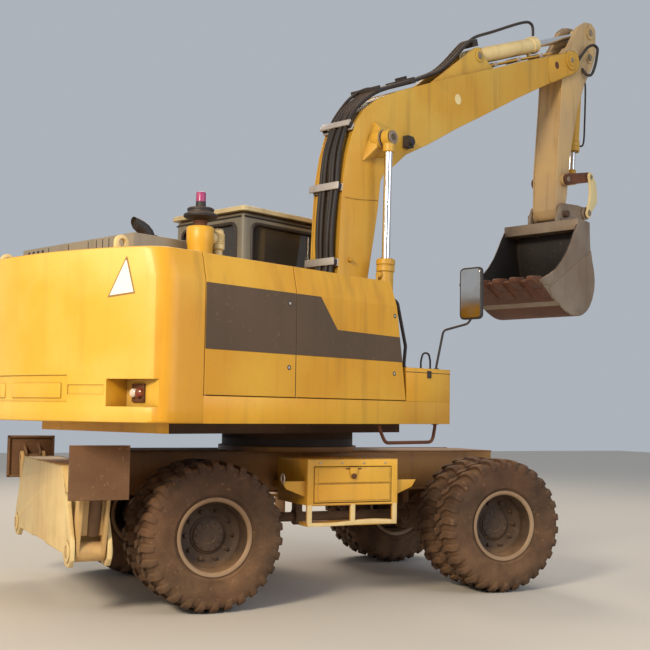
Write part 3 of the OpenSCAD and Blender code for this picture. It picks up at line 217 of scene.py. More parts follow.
def plate(bm, outline, holes, y0, y1, edge=0.003, mat=0, turn=None):
    # Flat plate in X and Z with holes and softly broken edges
    curve = bpy.data.curves.new("plate", "CURVE")
    curve.dimensions = "2D"
    curve.fill_mode = "BOTH"
    curve.extrude = abs(y1 - y0) / 2 - edge
    curve.bevel_depth = edge
    curve.bevel_resolution = 1
    curve.offset = -edge
    for loop in [outline] + list(holes):
        spline = curve.splines.new("POLY")
        spline.points.add(len(loop) - 1)
        for point, at in zip(spline.points, loop):
            point.co = (at[0], at[1], 0, 1)
        spline.use_cyclic_u = True
    holder = bpy.data.objects.new("plate", curve)
    mesh = bpy.data.meshes.new_from_object(holder)
    upright = Matrix.Translation((0, (y0 + y1) / 2, 0)) @ Matrix.Rotation(math.pi / 2, 4, "X")
    mesh.transform((turn or ground) @ upright)
    first, before = len(bm.faces), len(bm.verts)
    bm.from_mesh(mesh)
    bm.faces.ensure_lookup_table()
    bm.verts.ensure_lookup_table()
    for face in bm.faces[first:]:
        face.material_index = mat
    bmesh.ops.remove_doubles(bm, verts=bm.verts[before:], dist=0.00002)
    bpy.data.objects.remove(holder)
    bpy.data.curves.remove(curve)
    bpy.data.meshes.remove(mesh)


# Objects

def bake(piece):
    bpy.context.view_layer.update()
    graph = bpy.context.evaluated_depsgraph_get()
    mesh = bpy.data.meshes.new_from_object(piece.evaluated_get(graph))
    piece.modifiers.clear()
    old = piece.data
    piece.data = mesh
    bpy.data.meshes.remove(old)


def addObject(name, data):
    thing = bpy.data.objects.new(name, data)
    scene.collection.objects.link(thing)
    return thing


def meshOf(bm, name="part"):
    mesh = bpy.data.meshes.new(name)
    bm.to_mesh(mesh)
    bm.free()
    return mesh


def toMesh(bm, finishes, edge=0.0, place=ground, edgeSteps=2):
    # A plain mesh with its finishes, edges broken by a bevel
    bmesh.ops.recalc_face_normals(bm, faces=bm.faces)
    mesh = meshOf(bm)
    for finish in finishes:
        mesh.materials.append(finish)
    if edge:
        holder = addObject("part", mesh)
        bevel = holder.modifiers.new("edges", "BEVEL")
        bevel.width = edge
        bevel.segments = edgeSteps
        bevel.limit_method = "ANGLE"
        bevel.angle_limit = edgeAngle
        bake(holder)
        mesh = holder.data
        bpy.data.objects.remove(holder)
    mesh.transform(place)
    if place.determinant() < 0:
        mesh.flip_normals()
    return mesh


def settle(piece, body, place=ground, replaces=(), smooth=35):
    piece.data.transform(place)
    if place.determinant() < 0:
        piece.data.flip_normals()
    piece.data.shade_smooth()
    piece.data.set_sharp_from_angle(angle=math.radians(smooth))
    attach(piece, body)
    if replaces:
        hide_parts(*replaces)


def joinMeshes(name, meshes, body, place=ground, replaces=(), smooth=35):
    # One object from several meshes, materials kept
    bm = bmesh.new()
    finishes = []
    for mesh in meshes:
        shift = {}
        for i, finish in enumerate(mesh.materials):
            if finish not in finishes:
                finishes.append(finish)
            shift[i] = finishes.index(finish)
        first = len(bm.faces)
        bm.from_mesh(mesh)
        bm.faces.ensure_lookup_table()
        for face in bm.faces[first:]:
            face.material_index = shift.get(face.material_index, 0)
        bpy.data.meshes.remove(mesh)
    joined = meshOf(bm, name)
    for finish in finishes:
        joined.materials.append(finish)
    settle(addObject(name, joined), body, place, replaces, smooth)


def dress(node, meshes, body, place=ground, smooth=35):
    # The piece that stands for a CAD part
    joinMeshes(node + "_made", meshes, body, place, (node,), smooth)


# Node trees

def put(tree, kind, inputs=None, **settings):
    node = tree.nodes.new(kind)
    for key, value in settings.items():
        setattr(node, key, value)
    for key, value in (inputs or {}).items():
        socket = node.inputs[key]
        if isinstance(value, bpy.types.NodeSocket):
            tree.links.new(value, socket)
        else:
            socket.default_value = value
    return node


def newRepeat(name, inputs):
    # Geometry Nodes tree with named inputs, the material last
    tree = bpy.data.node_groups.new(name, "GeometryNodeTree")
    tree.is_modifier = True
    tree.interface.new_socket("Geometry", in_out="OUTPUT", socket_type="NodeSocketGeometry")
    tree.interface.new_socket("Geometry", in_out="INPUT", socket_type="NodeSocketGeometry")
    for label, kind in inputs + [("Material", "Material")]:
        tree.interface.new_socket(label, in_out="INPUT", socket_type="NodeSocket" + kind)
    return tree, tree.nodes.new("NodeGroupInput").outputs


def endRepeat(tree, geometry, material):
    real = put(tree, "GeometryNodeRealizeInstances", {"Geometry": geometry})
    dressed = put(tree, "GeometryNodeSetMaterial",
                  {"Geometry": real.outputs[0], "Material": material})
    put(tree, "NodeGroupOutput", {"Geometry": dressed.outputs[0]})
    return tree


def ringTree():
    # The item stands on a circle about Z, its own X pointing outwards
    tree, get = newRepeat("itemsInRing", [("Count", "Int"), ("Radius", "Float"), ("Phase", "Float")])
    ring = put(tree, "GeometryNodeMeshCircle", {"Vertices": get["Count"], "Radius": get["Radius"]})
    where = put(tree, "GeometryNodeInputPosition")
    facing = put(tree, "FunctionNodeAlignRotationToVector", {"Vector": where.outputs[0]}, axis="X",
                 pivot_axis="Z")
    items = put(tree, "GeometryNodeInstanceOnPoints", {
        "Points": ring.outputs[0], "Instance": get["Geometry"], "Rotation": facing.outputs[0]})
    phase = put(tree, "ShaderNodeCombineXYZ", {"Z": get["Phase"]})
    turned = put(tree, "GeometryNodeTransform", {"Geometry": items.outputs[0],
                                                 "Rotation": phase.outputs[0]})
    return endRepeat(tree, turned.outputs[0], get["Material"])


def rowTree():
    # The item repeats along a straight step
    tree, get = newRepeat("itemsInRow", [("Count", "Int"), ("Step", "Vector")])
    row = put(tree, "GeometryNodeMeshLine", {"Count": get["Count"], "Offset": get["Step"]})
    items = put(tree, "GeometryNodeInstanceOnPoints", {"Points": row.outputs[0],
                                                       "Instance": get["Geometry"]})
    return endRepeat(tree, items.outputs[0], get["Material"])


def sweepTree():
    # A round section follows the drawn path
    tree, get = newRepeat("roundAlongPath", [("Radius", "Float"), ("Sides", "Int")])
    path = put(tree, "GeometryNodeMeshToCurve", {"Mesh": get["Geometry"]})
    section = put(tree, "GeometryNodeCurvePrimitiveCircle", {"Resolution": get["Sides"],
                                                             "Radius": get["Radius"]})
    swept = put(tree, "GeometryNodeCurveToMesh", {
        "Curve": path.outputs[0], "Profile Curve": section.outputs[0], "Fill Caps": True})
    return endRepeat(tree, swept.outputs[0], get["Material"])


def beadTree():
    # Overlapping flattened beads, as a weld seam has them
    tree, get = newRepeat("weldAlongPath", [("Width", "Float"), ("Pitch", "Float")])
    path = put(tree, "GeometryNodeMeshToCurve", {"Mesh": get["Geometry"]})
    even = put(tree, "GeometryNodeResampleCurve", {"Curve": path.outputs[0], "Length": get["Pitch"]},
               mode="LENGTH")
    ripple = put(tree, "GeometryNodeMeshIcoSphere", {"Radius": get["Width"], "Subdivisions": 1})
    along = put(tree, "GeometryNodeInputTangent")
    facing = put(tree, "FunctionNodeAlignRotationToVector", {"Vector": along.outputs[0]}, axis="X")
    items = put(tree, "GeometryNodeInstanceOnPoints", {
        "Points": even.outputs[0], "Instance": ripple.outputs[0], "Rotation": facing.outputs[0],
        "Scale": (1.0, 0.8, 0.8)})
    return endRepeat(tree, items.outputs[0], get["Material"])


repeats = {"ring": ringTree(), "row": rowTree(), "sweep": sweepTree(), "bead": beadTree()}


def growMesh(kind, bm, values, place=ground):
    # Runs one of the trees on the mesh and gives back the plain result as a mesh
    holder = addObject(kind, meshOf(bm, kind))
    tree = repeats[kind]
    modifier = holder.modifiers.new(kind, "NODES")
    modifier.node_group = tree
    for item in tree.interface.items_tree:
        if item.in_out == "INPUT" and item.name in values:
            modifier[item.identifier] = values[item.name]
    bake(holder)
    result = holder.data
    bpy.data.objects.remove(holder)
    result.transform(place)
    return result


def pathMesh(points, closed=False):
    bm = bmesh.new()
    verts = [bm.verts.new(p) for p in points]
    for a, b in zip(verts, verts[1:] + (verts[:1] if closed else [])):
        bm.edges.new((a, b))
    return bm


def sweep(points, radius, finish, sides=12, closed=False):
    return growMesh("sweep", pathMesh(points, closed), {"Radius": radius, "Sides": sides,
                                                        "Material": finish})


def weld(points, width, finish, closed=False):
    return growMesh("bead", pathMesh(points, closed), {"Width": width, "Pitch": width * 1.5,
                                                       "Material": finish})


def hexHead(radius, height):
    bm = bmesh.new()
    lathe(bm, [(0, 0), (0, radius * 1.25), (height * 0.18, radius * 1.25), (height * 0.2, radius),
               (height * 0.9, radius), (height, radius * 0.86), (height, 0)], (0, 0, 0), (0, 0, 1), 6)
    return bm


def boltRing(count, ringRadius, radius, height, finish, place, phase=0.0):
    return growMesh("ring", hexHead(radius, height), {
        "Count": count, "Radius": ringRadius, "Phase": phase, "Material": finish}, place)


def boltRow(count, step, radius, height, finish, place):
    return growMesh("row", hexHead(radius, height), {"Count": count, "Step": step, "Material": finish},
                    place)


def facing(at, axis):
    # Z of an item turned to the axis
    turn = Vector((0, 0, 1)).rotation_difference(Vector(axis)).to_matrix().to_4x4()
    return Matrix.Translation(at) @ turn


# Finishes

def tone(red, green, blue):
    parts = [c / 255 for c in (red, green, blue)]
    return tuple(c / 12.92 if c < 0.04045 else ((c + 0.055) / 1.055) ** 2.4 for c in parts) + (1.0,)


def calc(tree, operation, a, b=0.0, clamp=False):
    return put(tree, "ShaderNodeMath", {0: a, 1: b}, operation=operation, use_clamp=clamp).outputs[0]


def spread(tree, value, low, high, toLow=0.0, toHigh=1.0):
    return put(tree, "ShaderNodeMapRange", {"Value": value, "From Min": low, "From Max": high,
                                            "To Min": toLow, "To Max": toHigh}).outputs[0]


def mixTone(tree, factor, a, b):
    return put(tree, "ShaderNodeMix", {0: factor, 6: a, 7: b}, data_type="RGBA").outputs[2]


def grain(tree, where, scale, detail=3.0, stretch=(1, 1, 1), rough=0.5):
    mapped = put(tree, "ShaderNodeMapping", {"Vector": where, "Scale": stretch})
    return put(tree, "ShaderNodeTexNoise", {"Vector": mapped.outputs[0], "Scale": scale,
                                            "Detail": detail, "Roughness": rough}).outputs[0]


weather = {
    "dust": tone(172, 132, 92),      # dry ochre dust
    "dirtAndShade": tone(70, 48, 30),        # dirt of the rain streaks, and the painted shade in corners
    "lowHeight": 1.25,               # dust thickens below this height
    "edgeRadius": 0.006,             # rounding seen on sheet edges
    "cornerShadeReach": 0.10,
}


def newFinish(name):
    finish = bpy.data.materials.new(name)
    finish.use_nodes = True
    finish.node_tree.nodes.clear()
    return finish, finish.node_tree


def endFinish(finish, inputs):
    shader = put(finish.node_tree, "ShaderNodeBsdfPrincipled", inputs)
    put(finish.node_tree, "ShaderNodeOutputMaterial", {0: shader.outputs[0]})
    return finish


def surface(name, colour, faded=None, top=0.35, low=0.45, streak=0.2, chips=0.3, chipTone=(90, 62, 40),
            rough=0.45, metal=0.0, bump=0.15, bumpScale=90.0, corner=0.55, coat=0.0, spots=0.25,
            fadeScale=1.3):
    # Paint or bare metal with fading, rain streaks, dust, painted shade in corners and worn edges
    finish, tree = newFinish(name)
    places = put(tree, "ShaderNodeTexCoord")
    where = places.outputs["Object"]
    height = put(tree, "ShaderNodeSeparateXYZ", {0: where}).outputs[2]
    lift = put(tree, "ShaderNodeSeparateXYZ", {0: places.outputs["Normal"]}).outputs[2]
    fade = spread(tree, grain(tree, where, fadeScale, 4.0), 0.36, 0.66)
    base = mixTone(tree, fade, tone(*colour), tone(*(faded or colour)))
    runs = spread(tree, grain(tree, where, 1.0, 3.0, (9, 9, 0.7)), 0.52, 0.72, 0.0, streak)
    base = mixTone(tree, runs, base, weather["dirtAndShade"])
    splash = spread(tree, grain(tree, where, 26.0, 6.0, rough=0.65), 0.60, 0.72, 0.0, spots)
    base = mixTone(tree, splash, base, weather["dust"])
    lying = spread(tree, lift, 0.4, 0.95, 0.0, top)
    lower = spread(tree, height, weather["lowHeight"], 0.25, 0.0, low)
    cover = calc(tree, "MULTIPLY", calc(tree, "ADD", lying, lower),
                 spread(tree, grain(tree, where, 5.0, 5.0, rough=0.6), 0.3, 0.68, 0.35, 1.15), True)
    base = mixTone(tree, cover, base, weather["dust"])
    # Painted shade: the colour darkens where ambient occlusion finds corners, crevices and nearby parts
    shade = put(tree, "ShaderNodeAmbientOcclusion", {"Distance": weather["cornerShadeReach"]}, samples=4)
    paintedCornerShade = spread(tree, shade.outputs["AO"], 0.85, 0.25, 0.0, corner)
    base = mixTone(tree, paintedCornerShade, base, weather["dirtAndShade"])
    rounded = put(tree, "ShaderNodeBevel", {"Radius": weather["edgeRadius"]}, samples=3)
    flat = put(tree, "ShaderNodeNewGeometry")
    sameWay = put(tree, "ShaderNodeVectorMath", {0: rounded.outputs[0], 1: flat.outputs["Normal"]},
                  operation="DOT_PRODUCT").outputs["Value"]
    worn = calc(tree, "MULTIPLY", spread(tree, sameWay, 0.985, 0.87),
                spread(tree, grain(tree, where, 18.0, 4.0), 0.48, 0.6, 0.0, chips), True)
    base = mixTone(tree, worn, base, tone(*chipTone))
    gloss = calc(tree, "ADD", spread(tree, cover, 0.0, 1.0, rough, min(0.95, rough + 0.4)),
                 spread(tree, splash, 0.0, 1.0, 0.0, 0.2), True)
    relief = put(tree, "ShaderNodeBump", {
        "Height": grain(tree, where, bumpScale, 5.0), "Strength": bump, "Distance": 0.004,
        "Normal": rounded.outputs[0]})
    return endFinish(finish, {
        "Base Color": base, "Roughness": gloss, "Metallic": metal, "Coat Weight": coat,
        "Coat Roughness": 0.25, "Normal": relief.outputs[0]})


def plainShader(name, colour, rough, metal=0.0, noise=0.1, noiseScale=40.0, bump=0.05,
                stretch=(1, 1, 1), **sockets):
    # Clean materials such as chrome, lens and plastic: a little variation in tone and gloss
    finish, tree = newFinish(name)
    where = put(tree, "ShaderNodeTexCoord").outputs["Object"]
    mottle = grain(tree, where, noiseScale, 4.0, stretch)
    base = mixTone(tree, spread(tree, mottle, 0.35, 0.7, 0.0, noise), tone(*colour), weather["dust"])
    gloss = spread(tree, mottle, 0.3, 0.7, max(0.02, rough - noise * 0.4),
                   min(1.0, rough + noise * 0.6))
    relief = put(tree, "ShaderNodeBump", {"Height": mottle, "Strength": bump, "Distance": 0.002})
    others = {key.replace("_", " "): value for key, value in sockets.items()}
    return endFinish(finish, {"Base Color": base, "Roughness": gloss, "Metallic": metal,
                              "Normal": relief.outputs[0], **others})


def weaveFinish(name, colour, thread=0.0035):
    # Woven upholstery: two crossed waves, with sheen
    finish, tree = newFinish(name)
    where = put(tree, "ShaderNodeTexCoord").outputs["Object"]
    weave = {"Vector": where, "Scale": 0.05 / thread, "Distortion": 0.6}
    waves = [put(tree, "ShaderNodeTexWave", weave, bands_direction=way).outputs["Fac"]
             for way in ("X", "Z")]
    cloth = calc(tree, "MULTIPLY", *waves)
    base = mixTone(tree, spread(tree, grain(tree, where, 9.0), 0.3, 0.7), tone(*colour),
                   tone(*[int(c * 1.35) for c in colour]))
    relief = put(tree, "ShaderNodeBump", {"Height": cloth, "Strength": 0.5, "Distance": 0.002})
    return endFinish(finish, {"Base Color": base, "Roughness": 0.9, "Sheen Weight": 0.4,
                              "Normal": relief.outputs[0]})


yellow = surface("yellowPaint", (214, 150, 16), (226, 172, 44), coat=0.08)
# Paler tail paint: painted light on the rear faces, where the key light falls on the tail
tailLitYellow = surface("tailLitPaint", (220, 172, 52), (232, 192, 96), streak=0.1, chips=0.2)
# Darker yellow for the chassis frame: painted shade, as the frame sits in shade under the upper part
shadedFrameYellow = surface("shadedFramePaint", (158, 104, 26), (112, 72, 34), top=0.5, low=0.5, streak=0.4)
# Dark brown finish for undersides: painted shade
underShade = surface("underShade", (74, 48, 24), (52, 34, 22), low=0.3, rough=0.8, bump=0.3)
boomYellow = surface("boomPaint", (206, 150, 30), (212, 168, 64), top=0.3, low=0, streak=0.25)
stickPaint = surface("stickPaint", (200, 164, 106), (178, 148, 112), top=0.3, low=0, streak=0.4,
                     chips=0.5)
cream = surface("creamPaint", (238, 214, 152), (228, 198, 134), chips=0.4, streak=0.14)
roofPaint = surface("roofPaint", (206, 186, 140), (190, 166, 120), chips=0.3, streak=0.2)
sand = surface("sandPaint", (206, 168, 104), (196, 160, 108), chips=0.4, streak=0.35, spots=0.4)
bandPaint = surface("bandPaint", (84, 64, 42), (94, 72, 48), rough=0.6)
# Rust on the lip and teeth; on the bucket's underside this finish is a painted shade with reflected
# ground light
bucketRustAndShade = surface("bucketRustAndShade", (104, 60, 34), (86, 48, 28), rough=0.7, bump=0.35, low=0, chips=0.4,
                     chipTone=(176, 140, 112), fadeScale=2.0)
cabPaint = surface("cabPaint", (116, 108, 92), (128, 118, 98), rough=0.5)
hoodPaint = surface("hoodPaint", (138, 128, 112), (150, 136, 112), rough=0.55)
dark = surface("darkPaint", (44, 36, 32), (58, 46, 38), low=0.35, rough=0.6, chips=0.2)
axleSteel = surface("axleSteel", (62, 46, 36), (84, 60, 42), low=0.5, rough=0.75, bump=0.4)
padSteel = surface("padSteel", (92, 60, 34), (112, 78, 48), rough=0.7, bump=0.45, chips=0.6,
                   chipTone=(165, 140, 120), spots=0.5)
wornSteel = surface("wornSteel", (150, 132, 112), (128, 106, 84), metal=0.25, rough=0.55, bump=0.35,
                    chips=0.5, chipTone=(190, 180, 165), low=0, spots=0.35, fadeScale=2.2)
rust = surface("rustySteel", (110, 62, 32), (82, 44, 26), rough=0.8, bump=0.5, low=0, spots=0.3,
               fadeScale=3.0)
rimPaint = surface("rimPaint", (26, 17, 13), (38, 25, 18), rough=0.7, bump=0.35, chips=0.25,
                   chipTone=(120, 90, 62), low=0.2)
rimEdge = surface("rimEdge", (170, 146, 118), (140, 112, 84), metal=0.2, rough=0.6, bump=0.3, low=0.2)
# corner sets a strong painted shade in the tread's hollows
rubber = surface("tyreRubber", (38, 22, 13), (70, 42, 24), top=0.25, low=0.3, streak=0.0, chips=0.0,
                 rough=0.85, bump=0.5, bumpScale=140.0, corner=0.75, spots=0.4, fadeScale=2.5)
# Black hose rubber; also laid inside the bucket as a painted shade
hoseAndShade = surface("hoseRubberAndShade", (34, 29, 28), (48, 42, 38), low=0.2, streak=0, chips=0, rough=0.6,
               spots=0.2)
blackPlastic = surface("blackPlastic", (34, 30, 30), (46, 42, 40), streak=0, chips=0, rough=0.55,
                       bump=0.3, bumpScale=200.0)
zinc = surface("zincSteel", (206, 194, 184), (186, 172, 158), metal=0.5, rough=0.45, chips=0.2)
chrome = plainShader("rodChrome", (226, 224, 222), 0.16, 1.0, 0.15, 30.0, 0.02, (1, 1, 0.1))
mirrorGlass = plainShader("mirrorGlass", (214, 208, 200), 0.10, 1.0, 0.12, 8.0, 0.0)
lensRed = plainShader("lensRed", (118, 34, 20), 0.22, noise=0.25, Coat_Weight=0.6)
lensClear = plainShader("lensClear", (216, 204, 190), 0.15, noise=0.2, Coat_Weight=0.6)
capPink = plainShader("capPink", (170, 52, 118), 0.35, noise=0.2, Transmission_Weight=0.15)
whiteSign = plainShader("whiteSign", (242, 238, 226), 0.4, noise=0.12)
signEdge = plainShader("signEdge", (150, 112, 60), 0.5, noise=0.12)
seal = plainShader("windowSeal", (26, 23, 22), 0.55, noise=0.15)
pane = plainShader("paneGlass", (168, 160, 148), 0.04, noise=0.05, noiseScale=6.0, bump=0.0,
                   Transmission_Weight=0.92, IOR=1.45)
seatCloth = weaveFinish("seatCloth", (82, 84, 84))
print("finishes made:", len(bpy.data.materials))


def carve(bm, cutter):
    # The mesh with the cutter's solid taken out
    holders = []
    for part in (bm, cutter):
        bmesh.ops.recalc_face_normals(part, faces=part.faces)
        holders.append(addObject("solid", meshOf(part, "solid")))
    modifier = holders[0].modifiers.new("cut", "BOOLEAN")
    modifier.operation = "DIFFERENCE"
    modifier.solver = "EXACT"
    modifier.object = holders[1]
    bake(holders[0])
    result = bmesh.new()
    result.from_mesh(holders[0].data)
    for holder in holders:
        mesh = holder.data
        bpy.data.objects.remove(holder)
        bpy.data.meshes.remove(mesh)
    return result


# Tyres and wheels

tyre = {
    "sections": (0.16, -0.16),       # outer and inner tyre from the pair's middle
    "side": mm(80, 255.5, 98, 262, 110, 282, 117.5, 296, 122.5, 299, 123.5, 306, 123.5, 312, 129.5, 335,
               135.5, 365, 138.5, 400, 137.5, 438, 131, 466, 120, 486, 100, 497.5, 50, 503.5, 0, 505),
    "lugs": 30,
    "ringRadius": 0.5,
    # A lug's stations: top along the axle and its radius, foot along the axle and its radius,
    # shift round the tyre, half width
    "stations": mm(4, 527.0, 4, 497, 4, 22, 34, 527.2, 34, 497, -12, 22, 60, 526.6, 60, 496, -23, 24,
                  92, 522.5, 90, 490, -25, 26, 116.5, 510, 108, 482, -22, 27, 132, 490, 119, 468, -18, 27,
                  138.6, 468, 127, 452, -14, 26, 138.8, 447, 132, 440, -12, 22, size=6),
}


def lug(flip):
    bm = bmesh.new()
    rings = []
    for topZ, topR, footZ, footR, shift, half in tyre["stations"]:
        corners = [(footZ, footR, -half - 0.004), (topZ - 0.003, topR - 0.005, -half),
                   (topZ, topR, -half + 0.005), (topZ, topR, half - 0.005),
                   (topZ - 0.003, topR - 0.005, half), (footZ, footR, half + 0.004)]
        corners = [(z, r, (shift + t) / tyre["ringRadius"] * flip) for z, r, t in corners]
        rings.append([bm.verts.new((r * math.cos(a) - tyre["ringRadius"], r * math.sin(a), z * flip))
                      for z, r, a in corners])
    bm.faces.new(rings[0])
    bm.faces.new(rings[-1][::-1])
    for a, b in zip(rings, rings[1:]):
        for k in range(6):
            j = (k + 1) % 6
            bm.faces.new((a[k], b[k], b[j], a[j]))
    bmesh.ops.recalc_face_normals(bm, faces=bm.faces)
    return bm


def tyreMeshes(at):
    # Carcass and two staggered rows of lugs, the axle along Z
    lift = Matrix.Translation((0, 0, at))
    bm = bmesh.new()
    half = tyre["side"]
    lathe(bm, half + [(-z, r) for z, r in half[-2::-1]], (0, 0, 0), (0, 0, 1), 96, 0, True)
    meshes = [toMesh(bm, [rubber], 0.0, lift)]
    pitch = 2 * math.pi / tyre["lugs"]
    for flip, phase in ((1, 0.0), (-1, pitch / 2)):
        meshes.append(growMesh("ring", lug(flip), {
            "Count": tyre["lugs"], "Radius": tyre["ringRadius"], "Phase": phase + at,
            "Material": rubber}, lift))
    return meshes


wheel = {
    "rim": mm(98, 253.5, 104, 262, 108, 276, 113, 278, 118, 274, 118.5, 262, 114, 250.5, 103, 244, 80,
              238, 40, 226, -40, 226, -80, 238, -103, 244, -114, 250.5, -118.5, 262, -118, 274, -113, 278,
              -108, 276, -104, 262, -98, 253.5),
    "disc": mm(150, 226, 128, 205, 116, 188, 112, 150, 112, 118, 98, 118, 98, 150, 102, 192, 114, 212,
               132, 227.5),
    "hub": mm(-160, 0, -160, 150, 60, 150, 72, 146, 80, 138, 112, 134, 118, 130, 121, 118, 124, 114, 130,
              112, 130, 60, 126, 56, 126, 0),
    "nuts": (10, 0.170, 0.015, 0.026),
    "capBolts": (12, 0.094, 0.0075, 0.008),
}


def makeWheel(name, x, side, isFront):
    base = steered(side) if isFront else ground
    place = base @ facing((x, side * 0.915, machine["wheelR"]), (0, side, 0))
    body = "wheel_" + name
    meshes = [m for at in tyre["sections"] for m in tyreMeshes(at)]
    dress("tyres_" + name, meshes, body, place, 40)
    meshes = []
    for at in tyre["sections"]:
        bm = bmesh.new()
        lathe(bm, wheel["rim"], (0, 0, at), (0, 0, 1), 72, 0, True)
        for face in bm.faces:
            out = abs(face.calc_center_median().z - at)
            face.material_index = 1 if out > 0.104 else 0
        meshes.append(toMesh(bm, [rimPaint, rimEdge]))
    bm = bmesh.new()
    lathe(bm, wheel["disc"], (0, 0, 0), (0, 0, 1), 72, 0, True)
    lathe(bm, wheel["hub"], (0, 0, 0), (0, 0, 1), 64)
    rod(bm, (0, 0, -0.05), (0, 0, 0.03), 0.224, 64)
    meshes.append(toMesh(bm, [rimPaint]))
    for key, out in (("nuts", 0.110), ("capBolts", 0.128)):
        meshes.append(boltRing(*wheel[key], rimPaint, Matrix.Translation((0, 0, out))))
    dress("rims_" + name, meshes, body, place, 40)


for end, x in (("rear", machine["rearX"]), ("front", machine["frontX"])):
    for side, label in sides:
        makeWheel(end + "_" + label, x, side, end == "front")
print("wheels made")

# Counterweight

weight = {
    "tailR": 2.6485,
    "cornerR": 0.19,
    "front": -2.010,
    # Height, half width, how far inside the tail radius
    "levels": mm(1327, 1231, 12, 1331, 1239, 4, 1339, 1243, 0, 1418, 1243, 0, 1432, 1242, 8, 2215, 1242,
                 8, 2232, 1240.5, 8, 2400, 1204, 10, 2414, 1199, 15, 2420, 1190, 24, size=3),
    "pocket": (-2.330, 0.880, 1.427, 1.597),
    "sign": [(-19.3, 2.102), (-23.6, 2.124), (-22.2, 2.363)],
    "eyes": (-2.270, 0.697, 2.492, 0.052, 0.025),
}


def tailOutline(half, inset, steps=(8, 26)):
    # Plan outline: straight sides, rounded corners, arc about the turning axis
    outer, corner = weight["tailR"] - inset, weight["cornerR"]
    cx = -math.sqrt((outer - corner) ** 2 - (half - corner) ** 2)
    cy = half - corner
    lean = math.atan2(cy, -cx)
    points = [(weight["front"], -half)]
    for k in range(steps[0] + 1):
        a = (math.pi / 2 - lean) * k / steps[0]
        points.append((cx - corner * math.sin(a), -cy - corner * math.cos(a)))
    for k in range(1, steps[1]):
        a = -lean + 2 * lean * k / steps[1]
        points.append((-outer * math.cos(a), outer * math.sin(a)))
    for k in range(steps[0] + 1):
        a = (math.pi / 2 - lean) * (1 - k / steps[0])
        points.append((cx - corner * math.sin(a), cy + corner * math.cos(a)))
    return points + [(weight["front"], half)]


def loft(bm, rings, mat=0):
    # Closed skin through rings that have the same number of points
    rows = [[bm.verts.new(p) for p in ring] for ring in rings]
    bm.faces.new(rows[0][::-1]).material_index = mat
    bm.faces.new(rows[-1]).material_index = mat
    for a, b in zip(rows, rows[1:]):
        for k in range(len(a)):
            j = (k + 1) % len(a)
            bm.faces.new((a[k], a[j], b[j], b[k])).material_index = mat


def sector(bm, inner, outer, start, end, low, high, steps=24, mat=0):
    # Piece of a ring about the turning axis; angles in degrees from the tail's middle
    section = []
    for k in range(steps + 1):
        a = math.radians(start + (end - start) * k / steps)
        section.append([(-r * math.cos(a), r * math.sin(a), z)
                        for r, z in ((inner, low), (outer, low), (outer, high), (inner, high))])
    loft(bm, section, mat)


def liftingEye(bm, x, y, z, outer, bore):
    outline = [(x - outer, 2.40), (x + outer, 2.40)]
    outline += arc(x, z, outer, [math.pi * k / 16 for k in range(17)])
    plate(bm, outline, [circle(x, z, bore, 24)[::-1]], y - 0.015, y + 0.015, 0.003, 0)


def makeCounterweight():
    bm = bmesh.new()
    loft(bm, [[(x, y, z) for x, y in tailOutline(half, inset)] for z, half, inset in weight["levels"]])
    tail = weight["tailR"] - 0.008
    cutter = bmesh.new()
    x1, y0, z0, z1 = weight["pocket"]
    for side in (1, -1):
        loft(cutter, [[(x, side * y, z) for y, z in ((y0, z0), (1.5, z0), (1.5, z1), (y0, z1))]
                      for x in (-3.0, x1)])
    sector(cutter, tail - 0.009, 2.9, -12.7, 12.7, 1.452, 1.622)
    for side in (1, -1):
        low, high = sorted((side * 12.9, side * 19.1))
        sector(cutter, tail - 0.006, 2.9, low, high, 1.500, 1.560, 8)
    bm = carve(bm, cutter)
    bm.normal_update()
    for face in bm.faces:
        # Rear-facing faces take the paler paint, a painted light
        face.material_index = 1 if face.normal.x < -0.77 else 0
    meshes = [toMesh(bm, [yellow, tailLitYellow])]
    bm = bmesh.new()
    for side in (1, -1):
        low, high = sorted((side * 0.9, side * 11.6))
        sector(bm, tail - 0.02, tail + 0.001, low, high, 1.475, 1.572, 12)
    meshes.append(toMesh(bm, [tailLitYellow], 0.006))
    bm = bmesh.new()
    x, y, z, outer, bore = weight["eyes"]
    for side in (1, -1):
        liftingEye(bm, x, side * y, z, outer, bore)
    meshes.append(toMesh(bm, [cream]))
    dress("counterweight", meshes, "superstructure", upper, 30)


def makeSign():
    # Blank triangle that follows the tail's curve
    corners = [Vector(p) for p in weight["sign"]]
    centre = sum(corners, Vector((0, 0))) / 3
    bm = bmesh.new()
    for size, out, mat in ((1.0, 0.0012, 1), (0.86, 0.0020, 0)):
        left, right, top = [centre + (c - centre) * size for c in corners]
        rings = []
        for t in (0.0, 0.25, 0.5, 0.75, 0.96):
            row = [left.lerp(right, s / 5).lerp(top, t) for s in range(6)]
            inside, outside = weight["tailR"] - 0.012, weight["tailR"] - 0.008 + out
            rings.append([(-r * math.cos(math.radians(p.x)), r * math.sin(math.radians(p.x)), p.y)
                          for r, points in ((inside, row), (outside, row[::-1])) for p in points])
        loft(bm, rings, mat)
    joinMeshes("tail_sign", [toMesh(bm, [whiteSign, signEdge])], "superstructure",
               upper)


makeCounterweight()
makeSign()
print("counterweight made")


def onSide(bm, x, z, y0, y1, radius, steps=40, mat=0, edge=0.004):
    # Round boss between two distances from the middle plane, on both sides
    for side in (1, -1):
        rod(bm, (x, side * y0, z), (x, side * y1, z), radius, steps, mat, edge)


def bothPlates(bm, outline, y0, y1, edge=0.003, holes=(), mat=0):
    plate(bm, outline, holes, y0, y1, edge, mat)
    plate(bm, outline, holes, -y1, -y0, edge, mat)


def seams(outline, y, inset, width, finish):
    # Weld beads along a closed outline, on both sides
    loop = insetOutline([tuple(p) for p in outline], inset)
    return [weld([(x, side * y, z) for x, z in loop], width, finish, True) for side in (1, -1)]


# Boom

